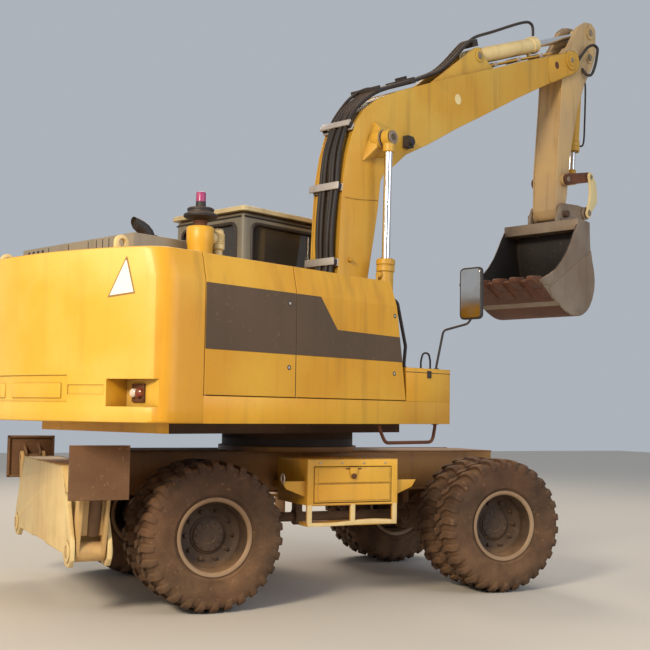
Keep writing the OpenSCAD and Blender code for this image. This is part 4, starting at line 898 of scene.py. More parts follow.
boomParts = {
    "side": mm(180, 1640, 240, 1610, 340, 1620, 540, 2100, 640, 2500, 740, 2980, 790, 3240, 820, 3480,
               880, 3580, 990, 3640, 1180, 3790, 1510, 3950, 2030, 4230, 2350, 4390, 3070, 4760, 3460,
               4950, 3790, 5110, 4030, 5225, 4250, 5320, 4340, 5390, 4370, 5470, 4340, 5560, 4250, 5575,
               3760, 5400, 3140, 5175, 2570, 4950, 2030, 4750, 1600, 4580, 1030, 4350, 770, 4225, 590,
               4090, 460, 3920, 370, 3660, 320, 3420, 300, 3200, 270, 2600, 210, 2100, 165, 1720),
    "half": 0.170,
    "skin": 0.012,
    "cheek": mm(3700, 5068, 4030, 5222, 4250, 5320, 4345, 5390, 4375, 5470, 4345, 5560, 4250, 5578, 3680,
                5368),
    "slot": mm(3780, 4900, 3860, 5420, 4060, 5750, 4600, 5800, 4600, 5000, 4050, 4900),
    "foot": (0.290, 1.700),
    "eye": (0.730, 3.830),
    "pivot": (4.170, 5.450),
    "stickBase": (2.420, 5.060),
    "bracketFoot": mm(560, 3610, 620, 3640, 720, 3680, 860, 3700, 990, 3760, 1010, 3880, 950, 3990, 720,
                      4010, 660, 3860),
    "bracketTop": mm(655, 3745, 675, 3742, 710, 3738, 760, 3742, 815, 3780, 822, 3860, 800, 3915, 700,
                     3925, 655, 3850),
    "spot": (1.995, 4.500, 0.052),
    "plug": (3.870, 5.320, 0.043),
}


def makeBoom():
    parts = boomParts
    outline = roundCorners(parts["side"], 0.06, 2)
    half, skin = parts["half"], parts["skin"]
    bm = bmesh.new()
    slab(bm, insetOutline(outline, 0.010), -half + skin + 0.001, half - skin - 0.001)
    cutter = bmesh.new()
    slab(cutter, parts["slot"], -0.158, 0.158)
    meshes = [toMesh(carve(bm, cutter), [boomYellow])]
    bm = bmesh.new()
    bothPlates(bm, outline, half - skin, half)
    bothPlates(bm, roundCorners(parts["cheek"], 0.07, 4), half - 0.004, 0.176, 0.003)
    x, z = parts["pivot"]
    onSide(bm, x, z, 0.172, 0.190, 0.108, 48)
    onSide(bm, x, z, 0.188, 0.198, 0.064, 40)
    onSide(bm, x, z, 0.100, 0.204, 0.030, 32, 1)
    x, z = parts["foot"]
    onSide(bm, x, z, 0.150, 0.170, 0.100, 48)
    # Brackets and bosses of the lifting cylinders
    for side in (1, -1):
        rings = [[(px, side * y, pz) for px, pz in roundCorners(parts[key], 0.015, 2)]
                 for key, y in (("bracketFoot", half - 0.004), ("bracketFoot", half + 0.006),
                                ("bracketTop", 0.262))]
        loft(bm, rings)
    x, z = parts["eye"]
    onSide(bm, x, z, 0.200, 0.276, 0.090, 48)
    onSide(bm, x, z, 0.262, 0.287, 0.080, 48, 1)
    onSide(bm, x, z, 0.280, 0.389, 0.038, 32, 1)
    onSide(bm, x, z, 0.379, 0.389, 0.062, 32, 1)
    # Lugs of the stick's cylinder
    x, z = parts["stickBase"]
    lugOutline = [(x - 0.76, z - 0.50), (x + 0.40, z - 0.12), (x + 0.19, z - 0.035)]
    lugOutline += arc(x, z, 0.088, [math.radians(15 + 15 * k) for k in range(9)])
    lugOutline += [(x - 0.76, z - 0.45)]
    bothPlates(bm, lugOutline, 0.084, 0.124, 0.004)
    onSide(bm, x, z, 0.122, 0.134, 0.064, 40)
    onSide(bm, x, z, 0.080, 0.142, 0.036, 32, 1)
    # Cap plate of a bore near the tip, and a bare round patch
    x, z, radius = parts["plug"]
    onSide(bm, x, z, 0.170, 0.1772, radius, 36, 2, 0.002)
    x, z, radius = parts["spot"]
    rod(bm, (x, -half + 0.001, z), (x, -half - 0.0008, z), radius, 40, 3, 0.0003)
    # Dark hose bracket behind the near eye, and a small lug low on the side
    block(bm, (1.130, -0.235, 3.850), (1.215, -half + 0.002, 3.955), 4)
    rod(bm, (1.170, -0.230, 3.900), (1.170, -0.262, 3.900), 0.036, 24, 4)
    rod(bm, (0.408, -half + 0.002, 2.724), (0.408, -half - 0.026, 2.724), 0.020, 20, 0)
    meshes.append(toMesh(bm, [boomYellow, wornSteel, rust, cream, hoseAndShade]))
    meshes.append(weld([(0.345, -half - 0.001, 3.262), (0.500, -half - 0.001, 3.267),
                        (0.783, -half - 0.001, 3.301)], 0.005, boomYellow))
    meshes += seams(outline, half - skin, 0.010, 0.007, boomYellow)
    meshes += seams(roundCorners(parts["cheek"], 0.07, 4), half + 0.001, -0.004, 0.006, boomYellow)
    dress("boom", meshes, "boom", arm)


makeBoom()
print("boom made")

# Hoses up the boom's back and pipes along its top

hoseRun = {
    "path": mm(165, 1900, 185, 2250, 212, 2480, 240, 2690, 238, 2860, 248, 3050, 268, 3230, 284, 3350,
               292, 3480, 318, 3660, 366, 3810, 414, 3915, 500, 4050, 620, 4170, 800, 4300, 1020, 4405,
               1300, 4522),
    "rise": mm(1600, 4650, 1850, 4775, 2040, 4920, 2210, 5080, 2340, 5195, 2425, 5235),
    "across": [(-0.118, -0.046), (-0.076, 0.0), (-0.034, 0.046), (0.008, None), (0.050, None)],
    "radius": 0.0195,
    "clamps": [(0.240, 2.690, 86), (0.284, 3.350, 82), (0.414, 3.915, 58)],
    "darkClamps": [(0.800, 4.327, 22), (1.300, 4.526, 22)],
    "loose": [(mm(414, 85, 3880, 455, 85, 3990, 550, 80, 4120, 660, 75, 4240, 780, 70, 4330, 900, 70,
                  4390, 1020, 70, 4420, size=3), 0.015),
              (mm(2420, 0, 5240, 2550, 0, 5325, 2850, 0, 5460, 3150, 0, 5600, 3400, 0, 5712, 3560, 0,
                  5765, 3640, 0, 5740, 3650, 0, 5640, size=3), 0.016)],
    "stick": [(mm(4389, -150, 5512, 4420, -190, 5590, 4449, -240, 5664, 4522, -270, 5703, 4601, -280,
                  5684, 4593, -280, 5598, 4565, -270, 5471, 4533, -240, 5365, 4486, -200, 5361, 4474,
                  -150, 5438, size=3), 0.017),
              (mm(4640, 0, 5520, 4760, 0, 5470, 4818, 0, 5370, 4822, 0, 5200, 4805, 0, 4900, 4785, 0,
                  4680, 4740, 0, 4600, 4640, 0, 4590, size=3), 0.011)],
    "pipes": mm(2560, 4985, 2700, 5040, 3140, 5208, 3760, 5432, 3930, 5497),
    "pipeClamps": [(2.800, 5.078, 20.5), (3.250, 5.248, 20.0), (3.700, 5.410, 20.0)],
}


def clampPart(bm, x, z, lean, y0, y1, depth, height, mat):
    # Bar across the hoses, tilted to their run
    turn = Matrix.Translation((x, 0, z)) @ Matrix.Rotation(math.radians(90 - lean), 4, "Y")
    outline = rectangle(-depth / 2, -height / 2, depth / 2, height / 2, 0.004, 2)
    plate(bm, outline, [], y0, y1, 0.002, mat, turn)


def makeHoses():
    run = hoseRun
    meshes = []
    for i, (y, end) in enumerate(run["across"]):
        bow = 0.012 * math.sin(i * 2.3)
        points = [(x - (bow if 2.3 < z < 4.0 else 0), y + 0.006 * math.sin(z * 5 + i), z)
                  for x, z in run["path"]]
        if end is not None:
            points += [(x, end, z) for x, z in run["rise"]]
        meshes.append(sweep(smoothPath(points, 4), run["radius"], hoseAndShade, 12))
    # One hose stands off over the knee, another runs over the cylinder to its head
    for points, radius in run["loose"]:
        meshes.append(sweep(smoothPath(points, 5), radius, hoseAndShade, 12))
    bm = bmesh.new()
    for x, z, lean in run["clamps"]:
        a = math.radians(lean)
        for out in (-0.028, 0.028):
            clampPart(bm, x + out * math.sin(a), z - out * math.cos(a), lean,
                      -0.168, 0.168, 0.016, 0.066, 0)
        for y in (-0.164, 0.142):
            clampPart(bm, x, z, lean, y, y + 0.022, 0.060, 0.044, 1)
    for x, z, lean in run["darkClamps"]:
        clampPart(bm, x, z, lean, -0.160, 0.160, 0.058, 0.045, 1)
    # Blocks in which the hoses end
    clampPart(bm, 1.355, 4.565, 22, -0.020, 0.082, 0.080, 0.060, 1)
    clampPart(bm, 2.440, 5.215, 22, -0.070, 0.070, 0.070, 0.075, 1)
    for x, z, lean in run["pipeClamps"]:
        clampPart(bm, x, z, lean, -0.085, 0.085, 0.046, 0.050, 0)
    meshes.append(toMesh(bm, [zinc, hoseAndShade]))
    for y in (-0.055, 0.0, 0.055):
        path = [(x, y, z) for x, z in run["pipes"]]
        meshes.append(sweep(smoothPath(path, 4), 0.0125, boomYellow, 10))
    dress("boom_lines", meshes, "boom", arm, 40)
    meshes = [sweep(smoothPath(points, 4), radius, hoseAndShade, 10) for points, radius in run["stick"]]
    joinMeshes("stick_lines", meshes, "stick", arm, (), 40)


makeHoses()
print("hoses made")

# Cylinders: base point, rod's eye, distance across, then barrel and rod sizes

cylinders = {
    "boom": {"base": (0.670, 1.380), "eye": (0.730, 3.830), "across": (0.335, -0.335), "barrel": 0.070,
             "length": 1.370, "rod": 0.036, "rodLength": 1.250, "baseEye": 0.085, "rodEye": 0.075,
             "width": 0.084, "paint": boomYellow, "port": -1},
    "stick": {"base": (2.420, 5.060), "eye": (4.650, 5.910), "across": (0.0,), "barrel": 0.082,
              "length": 1.335, "rod": 0.040, "rodLength": 1.210, "baseEye": 0.080, "rodEye": 0.075,
              "width": 0.150, "paint": cream, "port": 1},
    "bucket": {"base": (4.640, 5.610), "eye": (4.495, 4.150), "across": (0.0,), "barrel": 0.0625,
               "length": 1.130, "rod": 0.0325, "rodLength": 1.000, "baseEye": 0.065, "rodEye": 0.060,
               "width": 0.110, "paint": boomYellow, "port": -1},
}


# Pairs of (distance from the barrel's end, step beyond the radius): the head's steps go beyond the
# barrel's radius and the mouth's beyond the rod's
cylinderHead = mm(-118, 0, -112, 10, -66, 10, -62, 6, -56, 6, -52, 13, -10, 13, -4, 7)
rodSeal = mm(-4, 20, 0, 18, 0, 6, -12, 1, -50, 1)


def makeCylinder(data, barrelNode, rodNode):
    base, eye = (Vector((data[key][0], 0, data[key][1])) for key in ("base", "eye"))
    span = (eye - base).length
    along = (eye - base).normalized()
    paint, radius, length = data["paint"], data["barrel"], data["length"]
    rodR, eyeR = data["rod"], data["baseEye"]
    across = Vector((along.z, 0, -along.x)) * data["port"]
    barrelMeshes, rodMeshes = [], []
    for y in data["across"]:
        foot, tip = base + Vector((0, y, 0)), eye + Vector((0, y, 0))
        bm = bmesh.new()
        lathe(bm, [(eyeR * 0.4, 0), (eyeR * 0.4, radius * 0.72), (eyeR + 0.005, radius * 0.86),
                   (eyeR + 0.03, radius)]
              + [(length + at, radius + out) for at, out in cylinderHead]
              + [(length + at, rodR + out) for at, out in rodSeal] + [(length - 0.05, 0)],
              foot, along, 48)
        half = Vector((0, data["width"] / 2, 0))
        rod(bm, foot - half, foot + half, eyeR, 44, 0, 0.007)
        # Ports and the pipe to the rod's end
        ports = [foot + along * at for at in (eyeR + 0.075, length - 0.150)]
        for port, size in zip(ports, (0.030, 0.028)):
            rod(bm, port + across * (radius - 0.01), port + across * (radius + 0.034), size, 24, 0,
                0.005)
        barrelMeshes.append(toMesh(bm, [paint]))
        first, last = (port + across * (radius + 0.030) for port in ports)
        out = across * 0.012
        path = [first, first + out + along * 0.03, last + out - along * 0.03, last]
        barrelMeshes.append(sweep(path, 0.011, paint, 10))
        barrelMeshes.append(boltRing(8, radius - 0.006, 0.0085, 0.008, wornSteel,
                                     facing(foot + along * (length - 0.005), along)))
        bm = bmesh.new()
        back, reach = span - data["rodLength"], span - data["rodEye"] * 0.6
        lathe(bm, [(back, 0), (back, rodR - 0.002), (back + 0.002, rodR), (reach - 0.03, rodR),
                   (reach - 0.03, 0)], foot, along, 40, 0)
        lathe(bm, [(reach - 0.085, 0), (reach - 0.085, rodR + 0.006), (reach - 0.078, rodR + 0.014),
                   (reach, rodR + 0.018), (reach, 0)], foot, along, 40, 1)
        half = Vector((0, data["width"] * 0.46, 0))
        rod(bm, tip - half, tip + half, data["rodEye"], 44, 1, 0.007)
        rodMeshes.append(toMesh(bm, [chrome, paint]))
    dress(barrelNode, barrelMeshes, barrelNode, arm)
    dress(rodNode, rodMeshes, rodNode, arm)


makeCylinder(cylinders["boom"], "boom_barrels", "boom_rods")
makeCylinder(cylinders["stick"], "stick_barrel", "stick_rod")
makeCylinder(cylinders["bucket"], "bucket_barrel", "bucket_rod")
print("cylinders made")

# Stick

stickParts = {
    "side": mm(3890, 3700, 3900, 4130, 3990, 4840, 4040, 5330, 4070, 5520, 4200, 5650, 4400, 5920, 4540,
               6010, 4700, 6040, 4800, 5990, 4805, 5700, 4730, 5520, 4530, 5260, 4370, 4920, 4262, 4560,
               4190, 4300, 4130, 3900, 4070, 3660, 4020, 3580, 3940, 3580),
    "half": 0.150,
    "skin": 0.012,
    "slots": [(mm(3850, 5480, 4200, 5625, 4560, 5785, 4600, 5822, 4700, 5822, 4742, 5870, 4742, 6200,
                  3850, 6200), 0.096),
              (mm(3850, 5470, 4200, 5560, 4560, 5735, 4900, 5735, 4900, 6200, 3850, 6200), 0.062),
              (mm(4380, 4860, 4430, 5060, 4555, 5600, 4555, 5690, 4610, 5702, 4900, 5702, 4900, 4860),
               0.078)],
    "pins": {"pivot": (4.170, 5.450, 0.104, 0.155), "foot": (3.985, 3.650, 0.084, 0.155),
             "rocker": (4.035, 4.050, 0.066, 0.190), "eye": (4.650, 5.910, 0.080, 0.164),
             "base": (4.640, 5.610, 0.070, 0.160)},
}


def makeStick():
    parts = stickParts
    outline = roundCorners(parts["side"], 0.05, 3)
    half, skin = parts["half"], parts["skin"]
    bm = bmesh.new()
    slab(bm, insetOutline(outline, 0.009), -half + skin + 0.001, half - skin - 0.001)
    for slot, width in parts["slots"]:
        cutter = bmesh.new()
        slab(cutter, slot, -width, width)
        bm = carve(bm, cutter)
    meshes = [toMesh(bm, [stickPaint])]
    bm = bmesh.new()
    bothPlates(bm, outline, half - skin, half)
    for key, (x, z, radius, out) in parts["pins"].items():
        onSide(bm, x, z, half - 0.006, out, radius, 44)
        if key in ("eye", "base"):
            onSide(bm, x, z, 0.060, out + 0.012, 0.038, 32, 1)
    meshes.append(toMesh(bm, [stickPaint, wornSteel]))
    meshes += seams(outline, half - skin, 0.009, 0.006, stickPaint)
    dress("stick", meshes, "stick", arm)


makeStick()
print("stick made")

# Bucket

bucketParts = {
    "out": mm(3860, 3550, 4065, 3535, 4070, 3360, 4080, 3240, 4108, 3120, 4145, 3010, 4165, 2900, 4152,
              2790, 4108, 2680, 4042, 2590, 3952, 2525, 3850, 2488, 3740, 2477, 3630, 2485, 3500, 2525,
              3370, 2585, 3240, 2655, 3120, 2728, 3010, 2790),
    "mouth": mm(3120, 2835, 3240, 2885, 3360, 2955, 3480, 3055, 3580, 3165, 3660, 3280, 3720, 3380, 3790,
                3480),
    "half": 0.479,
    "wall": 0.020,
    "box": mm(3800, 3545, 3862, 3549, 4060, 3534, 4062, 3440, 3920, 3425, 3800, 3430),
    "ear": mm(3835, 3440, 3850, 3600, 3905, 3740, 3985, 3775, 4310, 3800, 4450, 3795, 4520, 3725, 4450,
              3650, 4300, 3560, 4075, 3430),
    "wear": mm(3330, 2608, 3240, 2662, 3190, 2725, 4085, 3215, 4108, 3120, 4145, 3010, 4163, 2900, 4150,
               2790, 4106, 2682, 4040, 2592, 3950, 2527, 3850, 2490, 3740, 2479, 3630, 2487, 3500, 2527),
    "cutter": mm(3014, 2792, 3120, 2835, 3240, 2885, 3335, 2938, 3300, 2850, 3200, 2760, 3090, 2750),
    "teeth": 5,
    "seam": [(3.190, 2.725), (3.640, 2.971), (4.085, 3.215)],
    "shank": mm(3240, 2640, 3115, 2706, 3022, 2762, 3000, 2800, 3070, 2842, 3200, 2785, 3215, 2740),
    # Stations of a tooth's cap: its lower and upper edge, then its half width
    "tip": mm(3075, 2720, 3090, 2836, 47, 2985, 2750, 3005, 2838, 46, 2925, 2775, 2942, 2832, 43,
              2904, 2790, 2914, 2824, 40, size=5),
}


def makeBucket():
    parts = bucketParts
    half, wall = parts["half"], parts["wall"]
    out = [tuple(p) for p in smoothPath([Vector(p) for p in parts["out"][1:]], 3)]
    out = [parts["out"][0]] + out
    closed = out + parts["mouth"]
    inner = insetOutline(closed, wall)[:len(out)]
    bm = bmesh.new()
    band = half - wall * 0.5
    near = [[bm.verts.new((x, y, z)) for x, z in line] for y in (-band, band) for line in (out, inner)]
    for k in range(len(out) - 1):
        for a, b in ((0, 2), (1, 3)):
            face = bm.faces.new((near[a][k], near[a][k + 1], near[b][k + 1], near[b][k]))
            # Inner skin: black rubber finish as a painted shade inside the bucket; outer skin below 2.55
            # m: rust finish as a painted shade with reflected ground light
            face.material_index = 1 if a else (2 if out[k][1] < 2.55 else 0)
        for a, b in ((0, 1), (2, 3)):
            bm.faces.new((near[a][k], near[a][k + 1], near[b][k + 1], near[b][k]))
    for k in (0, -1):
        bm.faces.new((near[0][k], near[1][k], near[3][k], near[2][k]))
    # The inner side liners take the same painted shade
    liner = [tuple(p) for p in inner[1:-1]] + parts["mouth"]
    for side in (1, -1):
        slab(bm, liner, side * (half - wall) - 0.003, side * (half - wall) + 0.003, 1)
    meshes = [toMesh(bm, [wornSteel, hoseAndShade, bucketRustAndShade])]
    bm = bmesh.new()
    bothPlates(bm, insetOutline(closed, 0.004), half - wall + 0.003, half - 0.006, 0.003)
    bothPlates(bm, insetOutline(parts["wear"], 0.004), half - 0.007, half, 0.0025)
    bothPlates(bm, roundCorners(parts["cutter"], 0.01, 2), half - 0.030, half - 0.0005, 0.004)
    slab(bm, parts["box"], -half + 0.012, half - 0.012)
    bothPlates(bm, roundCorners(parts["ear"], 0.05, 4), 0.157, 0.189, 0.004)
    for x, z, radius in ((3.985, 3.650, 0.092), (4.450, 3.725, 0.074)):
        onSide(bm, x, z, 0.187, 0.198 if x < 4.2 else 0.215, radius, 40)
        rod(bm, (x, -0.25, z), (x, 0.25, z), 0.036 if x > 4.2 else 0.040, 32, 1)
    # Lip and teeth
    slab(bm, mm(3330, 2602, 3000, 2786, 3022, 2812, 3345, 2634), -half + 0.02, half - 0.02, 3)
    pitch = (2 * half - 0.130) / (parts["teeth"] - 1)
    for i in range(parts["teeth"]):
        y = (i - (parts["teeth"] - 1) / 2) * pitch
        slab(bm, parts["shank"], y - 0.040, y + 0.040, 3)
        loft(bm, [[(ax, y - w, az), (ax, y + w, az), (bx, y + w * 0.86, bz), (bx, y - w * 0.86, bz)]
                  for ax, az, bx, bz, w in parts["tip"]], 3)
    meshes.append(toMesh(bm, [wornSteel, axleSteel, hoseAndShade, bucketRustAndShade], 0.003))
    for side in (1, -1):
        meshes.append(weld([(x, side * (half - 0.004), z) for x, z in parts["seam"]], 0.006, rimEdge))
    dress("bucket", meshes, "bucket", arm)


makeBucket()
print("bucket made")

# Bucket linkage

linkage = {
    "rocker": (4.035, 4.050),
    "link": (4.495, 4.150),
    "hinge": (4.450, 3.725),
    # Outer edge from the upper pin down, then the inner edge back up
    "outer": [(4.610, 4.110), (4.640, 3.990), (4.640, 3.870)],
    "inner": [(4.460, 3.860), (4.480, 3.970), (4.470, 4.070)],
}


def makeLinkage():
    (rx, rz), (lx, lz), (hx, hz) = (linkage[key] for key in ("rocker", "link", "hinge"))
    along = math.atan2(lz - rz, lx - rx)
    outline = arc(rx, rz, 0.062, [along + math.pi / 2 + math.pi * k / 12 for k in range(13)])
    outline += arc(lx, lz, 0.058, [along - math.pi / 2 + math.pi * k / 12 for k in range(13)])
    bm = bmesh.new()
    bothPlates(bm, outline, 0.196, 0.222, 0.005)
    onSide(bm, lx, lz, 0.058, 0.258, 0.034, 32, 1)
    onSide(bm, lx, lz, 0.060, 0.198, 0.052, 36)
    onSide(bm, rx, rz, 0.185, 0.232, 0.030, 28, 1)
    dress("rockers", [toMesh(bm, [rust, wornSteel])], "rockers", arm)
    foot = arc(hx, hz, 0.056, [math.radians(-170) + math.pi * k / 10 for k in range(11)])
    head = arc(lx, lz, 0.052, [math.radians(15) + math.pi * k / 10 for k in range(11)])
    bm = bmesh.new()
    outline = head + linkage["inner"][::-1] + foot + linkage["outer"][::-1]
    bothPlates(bm, outline, 0.228, 0.252, 0.005)
    onSide(bm, hx, hz, 0.222, 0.262, 0.034, 28, 1)
    onSide(bm, lx, lz, 0.250, 0.258, 0.040, 28)
    dress("bucket_link", [toMesh(bm, [cream, wornSteel])], "bucket_link", arm)


makeLinkage()
print("linkage made")


def softened(node, body, finish, width=0.004, details=(), shadeBelow=0.0):
    # The CAD part with its edges broken and further details, in the part's place; faces below shadeBelow
    # darkened as painted shade
    bm = bmesh.new()
    bm.from_mesh(nodes[node].data)
    bmesh.ops.remove_doubles(bm, verts=bm.verts[:], dist=0.00002)
    bmesh.ops.dissolve_limit(bm, angle_limit=math.radians(1.5), verts=bm.verts[:], edges=bm.edges[:])
    for face in bm.faces:
        # Faces below shadeBelow get the dark finish, a painted shade
        face.material_index = 1 if face.calc_center_median().z < shadeBelow else 0
    dress(node, [toMesh(bm, [finish, underShade], width)] + list(details), body, ground, 30)


def sideTurn(bm):
    # Outlines that were drawn in X and Z are turned to lie in Y and Z
    bmesh.ops.transform(bm, matrix=Matrix.Rotation(math.pi / 2, 4, "Z"), verts=bm.verts)


# Side doors with their dark band

doors = {
    "low": 1.508, "high": 2.416, "out": 1.243, "inside": 1.203, "crease": 2.224, "lean": 0.044,
    "top": 2.420, "band": (1.800, 2.2235), "latches": (1.710, 2.150),
}


def leanIn(mesh):
    for vert in mesh.vertices:
        over = max(0.0, vert.co.z - doors["crease"])
        lean = doors["lean"] * over / (doors["top"] - doors["crease"])
        vert.co.y -= math.copysign(lean, vert.co.y)


def creased(outline, y0, y1, edge, finish):
    bm = bmesh.new()
    plate(bm, outline, [], y0, y1, edge)
    bmesh.ops.bisect_plane(bm, geom=bm.verts[:] + bm.edges[:] + bm.faces[:],
                           plane_co=(0, 0, doors["crease"]), plane_no=(0, 0, 1))
    mesh = toMesh(bm, [finish])
    leanIn(mesh)
    return mesh


def makeDoor(name, x0, x1, slant, side, band, latchX, vents=0):
    low, high = doors["low"], doors["high"]
    outline = [(x0, low), (x1, low), (x1 - slant * 0.35, low + 0.35 * (high - low)),
               (x1 - slant, high), (x0, high)]
    place = upper if side > 0 else upper @ mirrorY
    meshes = [creased(outline, doors["inside"], doors["out"], 0.003, yellow)]
    bm = bmesh.new()
    plate(bm, band, [], doors["out"] - 0.002, doors["out"] + 0.0012, 0.0006)
    for z in doors["latches"]:
        for inner, outer, *size in ((-0.004, 0.0016, 0.017, 28, 1), (0, 0.0028, 0.010, 24, 2)):
            rod(bm, (latchX, doors["out"] + inner, z), (latchX, doors["out"] + outer, z), *size,
                0.001)
    inner = insetOutline(outline, 0.05)
    plate(bm, insetOutline(outline, 0.012)[:3] + [(x1 - slant * 0.6 - 0.02, doors["crease"] - 0.02),
                                                  (x0 + 0.02, doors["crease"] - 0.02)],
          [[(x, min(z, doors["crease"] - 0.07)) for x, z in inner][::-1]], doors["inside"] - 0.008,
          doors["inside"] + 0.002, 0.002, 3)
    rod(bm, (x0 + 0.012, doors["out"] - 0.012, 1.483), (x0 + 0.012, doors["out"] - 0.012, low + 0.02),
        0.008, 20, 2)
    meshes.append(toMesh(bm, [bandPaint, hoseAndShade, zinc, yellow]))
    if vents:
        bm = bmesh.new()
        loft(bm, [[(x, 1.2432, 1.545), (x, 1.2490, 1.553), (x, 1.2432, 1.566)]
                  for x in (x0 + 0.35, x0 + 0.95)])
        meshes.append(growMesh("row", bm, {"Count": vents, "Step": (0, 0, 0.034),
                                           "Material": yellow}))
    dress(name, meshes, name, place, 8)


def makeDoors():
    low, high = doors["band"]
    rear = rectangle(-2.003, low, -1.186, high)
    makeDoor("door_rear_right", -2.004, -1.185, 0.0, -1, rear, -1.250)
    front = [(-1.178, low), (-0.014, low), (-0.018, 1.826), (-0.046, 1.990), (-0.760, 2.000),
             (-0.940, high), (-1.178, high)]
    makeDoor("door_front_right", -1.179, 0.035, 0.150, -1, front, -0.110)
    left = rectangle(-2.003, low, -0.321, high)
    makeDoor("door_left", -2.004, -0.320, 0.0, 1, left, -0.390, 6)


makeDoors()
print("doors made")

# Deck, engine house and front box

# The deck's underside below 1.322 m gets painted shade
softened("platform", "superstructure", yellow, 0.006, shadeBelow=1.322)


def houseDetails():
    bm = bmesh.new()
    # Lid edge, hinges and latch of the front box, bolted cap on the top plate
    block(bm, (0.038, -1.2438, 1.728), (0.608, -1.2400, 1.732), 1)
    for x in (0.160, 0.480):
        rod(bm, (x - 0.03, -0.632, 1.766), (x + 0.03, -0.632, 1.766), 0.008, 16, 0)
    block(bm, (0.300, -1.2500, 1.690), (0.350, -1.2400, 1.745), 1)
    lathe(bm, mm(0, 0, 0, 85, 12, 85, 16, 75, 40, 72, 46, 64, 46, 0),
          (-0.55, -0.62, 2.419), (0, 0, 1), 32, 1)
    for side in (1, -1):
        for x in (-2.018, -1.182) if side < 0 else (-2.018, -0.314):
            block(bm, (x - 0.010, side * 1.226, 1.512), (x + 0.010, side * 1.2415, 2.216), 2)
    meshes = [toMesh(bm, [yellow, dark, hoseAndShade], 0.0, upper)]
    meshes.append(boltRow(6, (-0.16, 0, 0), 0.009, 0.007, zinc, onUpper((-0.2, -1.10, 2.4200))))
    return meshes


softened("engine_house", "superstructure", yellow, 0.005, houseDetails())

# Hood: raised box with slats on a low flange

hoodParts = {
    "flange": ((-1.990, -0.860, 2.422), (-0.720, 0.950, 2.450)),
    "box": ((-1.990, -0.450, 2.445), (-1.290, 0.950, 2.628)),
    "step": ((-1.300, -0.420, 2.445), (-0.760, 0.920, 2.500)),
    "slats": (4, 0.857, 0.062),
    "seams": [0.590, 0.330, 0.080, -0.020, -0.095, -0.170],
    "barrels": [(-0.600, -0.510), (0.600, 0.690)],
}


def makeHood():
    parts = hoodParts
    bm = bmesh.new()
    for key in ("flange", "box", "step"):
        block(bm, *parts[key])
    meshes = [toMesh(bm, [hoodPaint], 0.010, upper)]
    count, start, step = parts["slats"]
    rear = parts["box"][0][0]
    bm = bmesh.new()
    block(bm, (rear - 0.0012, -0.013, 2.462), (rear + 0.004, 0.013, 2.604))
    meshes.append(growMesh("row", bm, {"Count": count, "Step": (0, -step, 0), "Material": hoseAndShade},
                           onUpper((0, start, 0))))
    bm = bmesh.new()
    for y in parts["seams"]:
        block(bm, (rear - 0.0010, y - 0.004, 2.455), (rear + 0.002, y + 0.004, 2.612))
    block(bm, (rear + 0.02, 0.340, 2.6275), (-1.310, 0.346, 2.6290))
    rod(bm, (-1.500, -0.4525, 2.540), (-1.500, -0.4480, 2.540), 0.022, 24)
    meshes.append(toMesh(bm, [hoseAndShade], 0.0, upper))
    bm = bmesh.new()
    for y0, y1 in parts["barrels"]:
        rod(bm, (-0.704, y0, 2.438), (-0.704, y1, 2.438), 0.0115, 20)
        block(bm, (-0.760, y0 + 0.005, 2.446), (-0.704, y1 - 0.005, 2.4515))
    meshes.append(toMesh(bm, [zinc], 0.001, upper))
    for x, y, count in ((-1.900, 0.100, 16), (-1.210, -0.300, 22)):
        high = parts["box"][1][2] if x < -1.5 else parts["step"][1][2]
        bm = bmesh.new()
        louvre = ((0.0, -0.002), (0.022, -0.002), (0.016, 0.007), (0.010, 0.007))
        loft(bm, [[(x + dx, across, high + up) for across, up in louvre] for dx in (0.0, 0.40)])
        meshes.append(growMesh("row", bm, {"Count": count, "Step": (0, 0.048, 0),
                                           "Material": hoodPaint}, onUpper((0, y, 0))))
    dress("hood", meshes, "hood", ground, 30)


makeHood()

# Air intake with its pre-cleaner, and the exhaust

intake = {
    "at": (-1.520, -0.600, 2.5906),
    "bowl": mm(-142, 0, -142, 88, -20, 90, 4, 96, 106, 98, 118, 90, 122, 52, 124, 0),
    "neck": mm(120, 0, 120, 47, 146, 47, 152, 52, 166, 52, 166, 0),
    "disc": mm(164, 0, 164, 58, 174, 82, 186, 116, 194, 121.5, 202, 121.5, 210, 116, 216, 102, 220, 94,
               234, 93, 238, 96, 246, 96, 253, 90, 256, 40, 256, 0),
    "stem": mm(254, 0, 254, 36, 300, 36, 300, 0),
    "cap": mm(299, 0, 299, 35.5, 362, 35.5, 368, 32, 370, 26, 370, 0),
    "canister": mm(-142, 0, -142, 40, -30, 40, -26, 50, -20, 55, 90, 55, 96, 48, 112, 46, 120, 36, 127,
                   28, 129, 0),
    "elbow": mm(80, 0, 80, 40, 88, 46, 120, 46, 127, 40, 127, 0),
}


